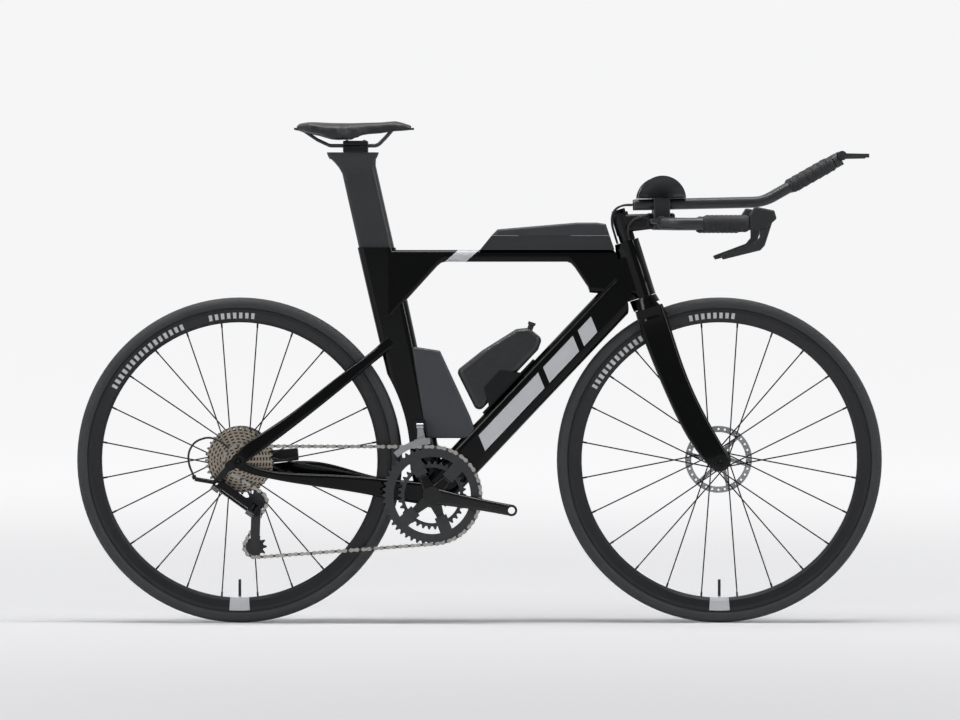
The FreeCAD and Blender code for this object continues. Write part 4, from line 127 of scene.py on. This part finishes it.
room = bpy.data.worlds.new("room")
room.use_nodes = True
room_tree = room.node_tree
behind = add(room_tree, "SeparateXYZ", {0: add(room_tree, "TexCoord")["Generated"]})["Y"]
level = add(room_tree, "MapRange", {"Value": behind, "From Min": ROOM_DIM_Y, "From Max": ROOM_WHITE_Y,
                                    "To Min": DIM_SIDE, "To Max": WHITE_SIDE})[0]
shown = add(room_tree, "Mix", {0: seen_by_eye(room_tree), 2: ROOM_FILL, 3: level}, data_type="FLOAT")[0]
room_shader = room_tree.nodes["Background"]
room_shader.inputs["Color"].default_value = GLOW_COLOUR
room_tree.links.new(shown, room_shader.inputs["Strength"])
scene.world = room

# Each lamp's width and height are in metres and its power in watts
for name, place, aim, width, height, power in (
        ("overhead", (0.0, -0.3, 4.0), (0.0, 0.0, 0.5), 5.0, 0.7, 150.0),
        ("left_panel", (-4.4, -4.6, 3.0), (-0.2, 0.0, 0.6), 1.6, 3.2, 110.0),
        ("right_panel", (4.6, -4.0, 2.6), (0.2, 0.0, 0.6), 1.4, 3.0, 80.0)):
    lamp = bpy.data.lights.new(name, "AREA")
    lamp.shape = "RECTANGLE"
    lamp.size = width
    lamp.size_y = height
    lamp.energy = power
    lit = placed(name, lamp)
    lit.location = place
    lit.rotation_euler = (Vector(aim) - Vector(place)).to_track_quat("-Z", "Y").to_euler()


# Frame, stays, fork and head cover: moulded carbon fibre under black gloss lacquer.
# The lacquer gives sharp highlights over a deep black, with a faint orange-peel wave.
def linear(code):
    parts = [int(code[start:start + 2], 16) / 255 for start in (1, 3, 5)]
    return [part / 12.92 if part <= 0.04045 else ((part + 0.055) / 1.055) ** 2.4 for part in parts]


# Grain is the width of the fine pattern and height its depth, both in millimetres. A broader cloud, in
# millimetres too, varies tone and wear. Marks gives the share of a second colour at each point.
CLOUD = 71.4
WEAR = 0.25
COAT_ROUGHNESS = 0.05


def finish(name, code, rough, grain, height, metal=0.0, coat=0.0, shine=0.5, vary=0.12,
           stretch=(1.0, 1.0, 1.0), marks=None, mark_code="#c8cacd"):
    made = bpy.data.materials.new(name)
    made.use_nodes = True
    tree = made.node_tree
    shader = tree.nodes["Principled BSDF"]
    place = add(tree, "TexCoord")["Object"]
    scaled = add(tree, "Mapping", {"Vector": place, "Scale": stretch})[0]
    fine = add(tree, "TexNoise", {"Vector": scaled, "Scale": 1000 / grain, "Detail": 3.0})["Fac"]
    broad = add(tree, "TexNoise", {"Vector": place, "Scale": 1000 / CLOUD, "Detail": 2.0})["Fac"]
    both = add(tree, "Math", {0: fine, 1: broad}, operation="ADD")[0]
    tone = add(tree, "MapRange", {"Value": both, "From Max": 2.0, "To Min": 1 - vary, "To Max": 1 + vary})[0]
    colour = add(tree, "VectorMath", {0: linear(code), "Scale": tone}, operation="SCALE")["Vector"]
    if marks is not None:
        share = marks(tree, add(tree, "SeparateXYZ", {0: place}))
        colour = add(tree, "Mix", {0: share, 6: colour, 7: linear(mark_code) + [1.0]}, data_type="RGBA")[2]
    tree.links.new(colour, shader.inputs["Base Color"])
    wear = add(tree, "MapRange", {"Value": broad, "To Min": rough * (1 - WEAR),
                                  "To Max": rough * (1 + WEAR)})[0]
    tree.links.new(wear, shader.inputs["Roughness"])
    bump = add(tree, "Bump", {"Height": fine, "Strength": 1.0, "Distance": height / 1000})[0]
    tree.links.new(bump, shader.inputs["Normal"])
    shader.inputs["Metallic"].default_value = metal
    shader.inputs["Specular IOR Level"].default_value = shine
    shader.inputs["Coat Weight"].default_value = coat
    shader.inputs["Coat Roughness"].default_value = COAT_ROUGHNESS
    return made


def dress(material, *names):
    for name in names:
        nodes[name].data.materials.clear()
        nodes[name].data.materials.append(material)


# A share of 1 where a value lies between two limits
def between(tree, value, low, high):
    above = add(tree, "Math", {0: value, 1: low}, operation="GREATER_THAN")[0]
    below = add(tree, "Math", {0: value, 1: high}, operation="LESS_THAN")[0]
    return add(tree, "Math", {0: above, 1: below}, operation="MULTIPLY")[0]


def weighted(tree, first, first_weight, second, second_weight, offset):
    part = add(tree, "Math", {0: first, 1: first_weight, 2: offset}, operation="MULTIPLY_ADD")[0]
    return add(tree, "Math", {0: second, 1: second_weight, 2: part}, operation="MULTIPLY_ADD")[0]


# Plain slanted bars on the down tube's flanks, measured along and across the tube from the crank axle,
# and one pale band that slants across the top tube
TUBE_X, TUBE_Z = 0.6867, 0.7270
AXLE_ALONG, AXLE_ACROSS = 0.1265, 0.2549
BAR_SPANS = ((0.150, 0.330), (0.345, 0.435), (0.450, 0.490))
BAR_SLANT = 0.45
BAR_EDGES = (-0.017, 0.015)
BAR_FLANK = (0.0235, 0.030)
BAND_SLANT, BAND_START = 1.126, 0.8702
BAND_SPAN = (-0.049, -0.0053)
BAND_HEIGHTS = (0.7515, 0.7850)


def frame_marks(tree, place):
    x, y, z = place[0], place[1], place[2]
    band = between(tree, weighted(tree, x, 1.0, z, -BAND_SLANT, BAND_START), *BAND_SPAN)
    band = add(tree, "Math", {0: band, 1: between(tree, z, *BAND_HEIGHTS)}, operation="MULTIPLY")[0]
    along = weighted(tree, x, TUBE_X, z, TUBE_Z, -AXLE_ALONG)
    across = weighted(tree, x, -TUBE_Z, z, TUBE_X, -AXLE_ACROSS)
    slanted = weighted(tree, along, 1.0, across, -BAR_SLANT, 0.0)
    flank = add(tree, "Math", {0: y}, operation="ABSOLUTE")[0]
    bars = 0.0
    for span in BAR_SPANS:
        bars = add(tree, "Math", {0: bars, 1: between(tree, slanted, *span)}, operation="MAXIMUM")[0]
    for value, limits in ((across, BAR_EDGES), (flank, BAR_FLANK)):
        bars = add(tree, "Math", {0: bars, 1: between(tree, value, *limits)}, operation="MULTIPLY")[0]
    return add(tree, "Math", {0: bars, 1: band}, operation="MAXIMUM")[0]


lacquer = dict(code="#040506", rough=0.12, grain=3.85, height=0.004, coat=0.12, shine=0.14, vary=0.06)
gloss_lacquer = finish("gloss_lacquer", **lacquer)
marked_lacquer = finish("marked_lacquer", marks=frame_marks, **lacquer)
dress(marked_lacquer, "main_frame")
dress(gloss_lacquer, "rear_triangle", "fork", "headset")

# Rims: deep alloy hoops, rolled, welded and anodised satin black, which leaves a low even sheen.
# Each carries a small blank label at the valve and plain ticks higher up, set by angle in degrees
# and by radius about its own axle.
AXLES = {"front": 0.5, "rear": -0.5}
AXLE_HEIGHT = 0.339
LABEL_ANGLES, LABEL_RADII = (-93.9, -86.1), (0.284, 0.3135)
TICK_ANGLES, TICK_RADII = ((83.0, 103.0), (112.0, 150.0)), (0.2955, 0.3075)
TICK_STEP, TICK_SHARE = 2.4, 0.55


def about_axle(tree, place, axle_x):
    ahead = add(tree, "Math", {0: place[0], 1: axle_x}, operation="SUBTRACT")[0]
    rise = add(tree, "Math", {0: place[2], 1: AXLE_HEIGHT}, operation="SUBTRACT")[0]
    flat = add(tree, "CombineXYZ", {"X": ahead, "Y": rise})[0]
    radius = add(tree, "VectorMath", {0: flat}, operation="LENGTH")["Value"]
    turn = add(tree, "Math", {0: rise, 1: ahead}, operation="ARCTAN2")[0]
    return radius, turn


def rim_marks(axle_x):
    def marks(tree, place):
        radius, turn = about_axle(tree, place, axle_x)
        degrees = add(tree, "Math", {0: turn, 1: 180 / math.pi}, operation="MULTIPLY")[0]
        label = between(tree, degrees, *LABEL_ANGLES)
        label = add(tree, "Math", {0: label, 1: between(tree, radius, *LABEL_RADII)}, operation="MULTIPLY")[0]
        beat = add(tree, "Math", {0: degrees, 1: 1 / TICK_STEP}, operation="MULTIPLY")[0]
        beat = add(tree, "Math", {0: beat}, operation="FRACT")[0]
        ticks = add(tree, "Math", {0: beat, 1: TICK_SHARE}, operation="LESS_THAN")[0]
        first, second = [between(tree, degrees, *angles) for angles in TICK_ANGLES]
        spans = add(tree, "Math", {0: first, 1: second}, operation="MAXIMUM")[0]
        for value in (spans, between(tree, radius, *TICK_RADII)):
            ticks = add(tree, "Math", {0: ticks, 1: value}, operation="MULTIPLY")[0]
        return add(tree, "Math", {0: ticks, 1: label}, operation="MAXIMUM")[0]
    return marks


for end, axle_x in AXLES.items():
    rim_anodised = finish(end + "_rim_anodised", "#141518", 0.36, grain=1.43, height=0.008,
                          marks=rim_marks(axle_x))
    dress(rim_anodised, end + "_rim")

# Tyres: fabric casings under black rubber, moulded with a fine file tread and seated on the rims by air.
# The tread scatters the light to a dark matt grey.
tyre_rubber = finish("tyre_rubber", "#343638", 0.7, grain=0.714, height=0.12)
dress(tyre_rubber, "front_tyre", "rear_tyre")

# Spokes, hubs, axles, calipers and small fittings: black-coated steel wire and black anodised alloy,
# drawn or machined and screwed in place. The anodised skin is satin, with a short sheen at the edges.
black_wire = finish("black_wire", "#08090a", 0.34, grain=0.667, height=0.004, metal=0.3)
black_anodised = finish("black_anodised", "#131417", 0.34, grain=0.833, height=0.01, metal=0.45)
dress(black_wire, "front_spokes", "rear_spokes", "bb_bearings")
dress(black_anodised, "front_hub", "rear_hub", "front_caliper", "rear_caliper", "front_thru_axle",
      "rear_thru_axle", "derailleur_hanger", "bottle_cage", "front_derailleur", "rd_upper_knuckle",
      "rd_lower_knuckle", "rd_inner_link", "saddle_clamp", "stem")

# Brake discs and the front shifting cage: stainless steel plate, stamped and ground, the discs bolted to
# their hubs. The grinding leaves fine lines that soften its shine.
ground_steel = finish("ground_steel", "#a9abae", 0.3, grain=2.0, height=0.006, metal=1.0)
dress(ground_steel, "front_rotor", "rear_rotor", "fd_cage")

# Cassette: nickel-plated cogs, stacked on the freehub. Each cog is bright at its face. The gaps
# between its teeth look down to the next cog in shade, and that shade is painted on as dark flecks,
# so from the side the stack is rings of bright metal and painted shade. The flecks of painted shade
# stand one chain pitch apart on every ring.
COG_STEP = 0.0062
PITCH = 0.0127
RING_SHARE, GAP_SHARE = 0.5, 0.6


# Painted shade: dark flecks in rings where the gaps between cog teeth would lie in shade
def painted_cog_gap_shade(tree, place):
    radius, turn = about_axle(tree, place, AXLES["rear"])
    cog = add(tree, "Math", {0: radius, 1: COG_STEP}, operation="DIVIDE")[0]
    ring = add(tree, "Math", {0: cog}, operation="FRACT")[0]
    ring = add(tree, "Math", {0: ring, 1: RING_SHARE}, operation="LESS_THAN")[0]
    count = add(tree, "Math", {0: cog}, operation="CEIL")[0]
    gap = add(tree, "Math", {0: turn, 1: COG_STEP / PITCH}, operation="MULTIPLY")[0]
    gap = add(tree, "Math", {0: gap, 1: count}, operation="MULTIPLY")[0]
    gap = add(tree, "Math", {0: gap}, operation="FRACT")[0]
    gap = add(tree, "Math", {0: gap, 1: GAP_SHARE}, operation="LESS_THAN")[0]
    return add(tree, "Math", {0: ring, 1: gap}, operation="MULTIPLY")[0]


# The dark mark colour is painted shade for the gaps between the cog teeth
nickel = finish("nickel", "#b3aa9c", 0.3, grain=1.11, height=0.02, metal=1.0, vary=0.3, marks=painted_cog_gap_shade,
                mark_code="#453e36")
dress(nickel, "cassette")

# Cranks, rings and the derailleur's outer link: forged alloy under gloss black, with machined rings in
# hard-anodised dark grey bolted on. The lacquer takes narrow highlights, and the rings stay dull.
crank_lacquer = finish("crank_lacquer", "#0b0c0e", 0.18, grain=2.38, height=0.005, coat=0.25, shine=0.3,
                       vary=0.08)
ring_anodised = finish("ring_anodised", "#3a3c3e", 0.32, grain=1.43, height=0.01, metal=0.3)
dress(crank_lacquer, "crank_right", "crank_left", "rd_outer_link")
dress(ring_anodised, "chainrings")

# Chain: half-inch roller chain, its waisted outer and inner plates riveted over rollers. One link of
# each kind is shaped and repeated at the chain's own pitch round the loop. Bright plated outer links
# between dark blued inner ones give the run its beads.
CHAIN_Y = -0.0485
PLATE = 0.0009
END_STEPS = 6
ROLLER_SIDES = 12
ON_EDGE = Matrix.Rotation(math.radians(90), 4, "X")

# Ring, cog, guide pulley and tension pulley: centre in X and Z, teeth, and -1 where the chain bends back
LOOP = [(Vector(centre), PITCH / (2 * math.sin(math.pi / teeth)), turn) for centre, teeth, turn in (
    ((-0.0984, 0.267), 50, 1), ((AXLES["rear"], AXLE_HEIGHT), 15, 1),
    ((-0.4637, 0.2539), 11, -1), ((-0.4669, 0.1608), 11, 1))]

# Outer and inner links: plate offset, plate end radius, half waist, and the radius and half width of
# the pin or roller at the link's leading end
LINKS = ((0.0030, 0.0042, 0.0024, 0.0020, 0.0036), (0.0019, 0.0039, 0.0022, 0.0034, 0.0014))


# Straight runs as (length, start, end, None) and arcs as (length, centre, radius, (angle, sweep))
def loop_pieces():
    runs = []
    for step, (centre, radius, turn) in enumerate(LOOP):
        after, after_radius, after_turn = LOOP[(step + 1) % len(LOOP)]
        gap = after - centre
        lean = math.asin((after_turn * after_radius - turn * radius) / gap.length)
        heading = math.atan2(gap.y, gap.x) - lean
        normal = Vector((-math.sin(heading), math.cos(heading)))
        runs.append((centre - normal * (turn * radius), after - normal * (after_turn * after_radius)))
    pieces = []
    for step, (start, end) in enumerate(runs):
        centre, radius, turn = LOOP[(step + 1) % len(LOOP)]
        leave = runs[(step + 1) % len(runs)][0]
        first = math.atan2(end.y - centre.y, end.x - centre.x)
        last = math.atan2(leave.y - centre.y, leave.x - centre.x)
        sweep = (last - first) * turn % (2 * math.pi)
        pieces.append(((end - start).length, start, end, None))
        pieces.append((sweep * radius, centre, radius, (first, turn * sweep)))
    return pieces


def on_loop(pieces, distance):
    for length, first, second, arc in pieces:
        if distance <= length:
            share = distance / length
            if arc is None:
                return first.lerp(second, share)
            angle = arc[0] + arc[1] * share
            return first + Vector((math.cos(angle), math.sin(angle))) * second
        distance -= length
    return pieces[0][1]


def body_of(node):
    return [body for body, held in frame["record"]["behaviour"]["bodies"].items() if node in held][0]


def as_mesh(build, name):
    mesh = bpy.data.meshes.new(name)
    build.to_mesh(mesh)
    build.free()
    return mesh


def link_plate(offset, end_radius, waist):
    outline = bpy.data.curves.new("link_plate", "CURVE")
    outline.dimensions = "2D"
    outline.fill_mode = "BOTH"
    outline.extrude = PLATE / 2
    points = []
    for middle, start in ((PITCH / 2, -90), (-PITCH / 2, 90)):
        for step in range(END_STEPS + 1):
            angle = math.radians(start + 180 / END_STEPS * step)
            points.append((middle + end_radius * math.cos(angle), end_radius * math.sin(angle)))
        points.append((0.0, waist if middle > 0 else -waist))
    spline = outline.splines.new("POLY")
    spline.points.add(len(points) - 1)
    spline.use_cyclic_u = True
    for point, (x, y) in zip(spline.points, points):
        point.co = (x, y, 0.0, 1.0)
    shape = placed("link_plate", outline)
    mesh = bpy.data.meshes.new_from_object(shape.evaluated_get(bpy.context.evaluated_depsgraph_get()))
    bpy.data.objects.remove(shape)
    mesh.transform(Matrix.Translation((0.0, offset, 0.0)) @ ON_EDGE)
    return mesh


def roller(radius, half):
    made = bmesh.new()
    bmesh.ops.create_cone(made, cap_ends=True, segments=ROLLER_SIDES, radius1=radius, radius2=radius,
                          depth=half * 2, matrix=Matrix.Translation((PITCH / 2, 0.0, 0.0)) @ ON_EDGE)
    return as_mesh(made, "roller")


kinds = [[link_plate(side * offset, end_radius, waist) for side in (-1, 1)] + [roller(pin_radius, half)]
         for offset, end_radius, waist, pin_radius, half in LINKS]
chain_pieces = loop_pieces()
chain_length = sum(piece[0] for piece in chain_pieces)
link_count = 2 * round(chain_length / PITCH / 2)
chain_build = bmesh.new()
for link in range(link_count):
    first = on_loop(chain_pieces, chain_length * link / link_count)
    last = on_loop(chain_pieces, chain_length * (link + 1) / link_count % chain_length)
    run = last - first
    spot = (first + last) / 2
    place = Matrix.Translation((spot.x, CHAIN_Y, spot.y)) @ Matrix.Rotation(-math.atan2(run.y, run.x), 4, "Y")
    for mesh in kinds[link % 2]:
        before, before_faces = len(chain_build.verts), len(chain_build.faces)
        chain_build.from_mesh(mesh)
        chain_build.verts.ensure_lookup_table()
        chain_build.faces.ensure_lookup_table()
        bmesh.ops.transform(chain_build, matrix=place, verts=chain_build.verts[before:])
        for face in chain_build.faces[before_faces:]:
            face.material_index = link % 2
bmesh.ops.recalc_face_normals(chain_build, faces=chain_build.faces)
chain_links = placed("chain_links", as_mesh(chain_build, "chain_links"))
plated_steel = finish("plated_steel", "#bab8b3", 0.28, grain=1.11, height=0.01, metal=1.0, vary=0.3)
blued_steel = finish("blued_steel", "#5d5a56", 0.34, grain=1.11, height=0.01, metal=1.0, vary=0.3)
for steel in (plated_steel, blued_steel):
    chain_links.data.materials.append(steel)
dress(plated_steel, "chain")
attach(chain_links, body_of("chain"))
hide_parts("chain")

# Seat post, bars, extensions, levers and pulley cage: carbon and alloy in satin black, clamped or bolted
# in place. The satin coat scatters highlights into a broad soft band.
satin_black = finish("satin_black", "#25282b", 0.40, grain=1.43, height=0.01)
dress(satin_black, "seatpost", "saddle_rails", "base_bar", "arm_rests", "extensions", "brake_lever_left",
      "brake_lever_right", "rd_cage")

# Boxes, saddle shell, pulleys and shifters: injection-moulded nylon, screwed or pressed on.
# The mould's fine spark-eroded texture leaves an even dull sheen, paler on the lid and the storage box.
nylon = dict(grain=0.714, height=0.05)
moulded_nylon = finish("moulded_nylon", "#222427", 0.5, **nylon)
lid_nylon = finish("lid_nylon", "#2e3134", 0.48, **nylon)
box_nylon = finish("box_nylon", "#393c40", 0.46, **nylon)
dress(moulded_nylon, "top_box", "guide_pulley", "tension_pulley", "saddle_shell", "shifter_bodies",
      "shift_lever_left", "shift_lever_right")
dress(lid_nylon, "top_box_lid")
dress(box_nylon, "frame_box")

# Bottle and cap: blow-moulded polyethylene, pushed into the cage, waxy with streaks along its length.
# The valve and the brake hoods are moulded from soft rubber, which stays dull.
streaked_polyethylene = finish("streaked_polyethylene", "#28292b", 0.30, grain=4.17, height=0.2, vary=0.3,
                               stretch=(0.35, 1.0, 1.0))
soft_rubber = finish("soft_rubber", "#191b1d", 0.6, grain=0.769, height=0.06)
dress(streaked_polyethylene, "bottle", "bottle_cap")
dress(soft_rubber, "bottle_valve", "brake_hoods")

# Cables: brake hoses and shift housings in a smooth extruded black sheath, plugged into bars and frame.
# The sheath shows one thin soft highlight along each bend.
cable_sheath = finish("cable_sheath", "#0f1012", 0.4, grain=0.833, height=0.01)
dress(cable_sheath, "rear_shift_housing", "cockpit_hoses")

# Saddle cover and elbow pads: foam under a stretched synthetic skin, crowned by the foam's push.
# The skin is swollen from the inside and held near its own shape. The saddle's pebbled skin has a low
# sheen, and the knit on the pads has none.
SWELL_FRAMES = 20
SWELL_PRESSURE = 4.0


def pick(piece):
    bpy.ops.object.select_all(action="DESELECT")
    piece.select_set(True)
    bpy.context.view_layer.objects.active = piece


def swollen(name, node, voxel, inset, limit):
    mesh = nodes[node].data.copy()
    mesh.name = name
    piece = placed(name, mesh)
    pick(piece)
    bpy.ops.object.mode_set(mode="EDIT")
    bpy.ops.mesh.select_all(action="SELECT")
    bpy.ops.mesh.remove_doubles(threshold=0.00005)
    bpy.ops.object.mode_set(mode="OBJECT")
    remesh = piece.modifiers.new("remesh", "REMESH")
    remesh.mode = "VOXEL"
    remesh.voxel_size = voxel
    bpy.ops.object.modifier_apply(modifier="remesh")
    smooth = piece.modifiers.new("smooth", "SMOOTH")
    smooth.factor = 0.5
    smooth.iterations = 10
    bpy.ops.object.modifier_apply(modifier="smooth")
    for vertex in piece.data.vertices:
        vertex.co -= vertex.normal * inset
    rest = [vertex.co.copy() for vertex in piece.data.vertices]
    cloth = piece.modifiers.new("cloth", "CLOTH")
    cloth.settings.use_pressure = True
    cloth.settings.uniform_pressure_force = SWELL_PRESSURE
    cloth.settings.effector_weights.gravity = 0.0
    for moment in range(1, SWELL_FRAMES + 1):
        scene.frame_set(moment)
    swelled = piece.evaluated_get(bpy.context.evaluated_depsgraph_get()).data
    moved = [vertex.co.copy() for vertex in swelled.vertices]
    piece.modifiers.remove(cloth)
    scene.frame_set(1)
    for vertex, start, end in zip(piece.data.vertices, rest, moved):
        push = end - start
        vertex.co = start + push * min(1.0, limit / max(push.length, 1e-9))
    finer = piece.modifiers.new("finer", "SUBSURF")
    finer.levels = 1
    finer.render_levels = 1
    bpy.ops.object.modifier_apply(modifier="finer")
    bpy.ops.object.shade_smooth()
    piece.data.materials.clear()
    return piece


# A shallow trough runs down the middle of the saddle and eases out at both ends
TROUGH_HALF, TROUGH_DEPTH = 0.013, 0.0045
TROUGH_REAR, TROUGH_FRONT = -0.375, -0.165
EASE_REAR, EASE_FRONT = 0.03, 0.04
FACES_UP = 0.4
saddle_skin = finish("saddle_skin", "#17181a", 0.46, grain=1.11, height=0.12)
saddle_cover = swollen("saddle_cover", "saddle_pad", voxel=0.0045, inset=0.0014, limit=0.0018)
for vertex in saddle_cover.data.vertices:
    x, y = vertex.co.xy
    ease = min(1.0, (x - TROUGH_REAR) / EASE_REAR, (TROUGH_FRONT - x) / EASE_FRONT)
    trough = max(0.0, 1 - (y / TROUGH_HALF) ** 2) * max(0.0, ease)
    if vertex.normal.z > FACES_UP:
        vertex.co.z -= TROUGH_DEPTH * trough * trough
saddle_cover.data.materials.append(saddle_skin)
dress(saddle_skin, "saddle_pad")
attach(saddle_cover, body_of("saddle_pad"))
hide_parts("saddle_pad")

pad_knit = finish("pad_knit", "#121315", 0.85, grain=0.909, height=0.2)
elbow_pads = swollen("elbow_pads", "arm_pads", voxel=0.004, inset=0.0016, limit=0.0028)
elbow_pads.data.materials.append(pad_knit)
dress(pad_knit, "arm_pads")
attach(elbow_pads, body_of("arm_pads"))
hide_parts("arm_pads")

# Grips: perforated tape wound round each extension in overlapping turns, and ribbed rubber sleeves on
# the base bar's arms. Each is a closed skin round its tube, rolled in at both ends. Tape and rubber
# are matt, and the light picks out only the edges of the turns and ribs.
SKIN_ROWS, SKIN_SIDES = 84, 40
ROLLED_ENDS = 14
RIB_FLANK = 5
TAPE_TILT = math.radians(29.5)
ACROSS = Vector((0.0, 1.0, 0.0))


# Step is the run of one turn of tape or one rib, and ridge how far it stands up
def rolled_skin(build, start, run, length, tall, wide, bore, step, ridge, wound):
    over = run.cross(ACROSS)
    rings = []
    for row in range(SKIN_ROWS + 1):
        share = row / SKIN_ROWS
        rim = min(1.0, ROLLED_ENDS * share, ROLLED_ENDS * (1 - share)) ** 0.5
        ring = []
        for side in range(SKIN_SIDES):
            angle = 2 * math.pi * side / SKIN_SIDES
            beat = (share * length / step - (side / SKIN_SIDES if wound else 0)) % 1
            lift = ridge * (1 - beat) if wound else ridge * min(1.0, RIB_FLANK * abs(beat - 0.5))
            out = ACROSS * ((bore + (wide - bore + lift) * rim) * math.cos(angle))
            up = over * ((bore + (tall - bore + lift) * rim) * math.sin(angle))
            ring.append(build.verts.new(start + run * (share * length) + out + up))
        rings.append(ring)
    for first, second in zip(rings, rings[1:]):
        for side in range(SKIN_SIDES):
            after = (side + 1) % SKIN_SIDES
            build.faces.new((first[side], first[after], second[after], second[side]))
    build.faces.new(rings[0])
    build.faces.new(rings[-1])


grip_build = bmesh.new()
for side in (-1, 1):
    rolled_skin(grip_build, start=Vector((0.6438, side * 0.058, 0.9072)),
                run=Vector((math.cos(TAPE_TILT), 0.0, math.sin(TAPE_TILT))), length=0.105,
                tall=0.0146, wide=0.0146, bore=0.0112, step=0.0165, ridge=0.0013, wound=True)
    rolled_skin(grip_build, start=Vector((0.4578, side * 0.198, 0.83065)),
                run=Vector((1.0, 0.0, 0.0)), length=0.095,
                tall=0.0170, wide=0.0150, bore=0.0121, step=0.0095, ridge=0.0007, wound=False)
bmesh.ops.recalc_face_normals(grip_build, faces=grip_build.faces)
grips = placed("grips", as_mesh(grip_build, "grips"))
pick(grips)
bpy.ops.object.shade_smooth_by_angle(angle=math.radians(50))
wound_tape = finish("wound_tape", "#1c1d1f", 0.66, grain=1.61, height=0.1)
grips.data.materials.append(wound_tape)
dress(wound_tape, "grip_tape")
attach(grips, body_of("grip_tape"))
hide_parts("grip_tape")
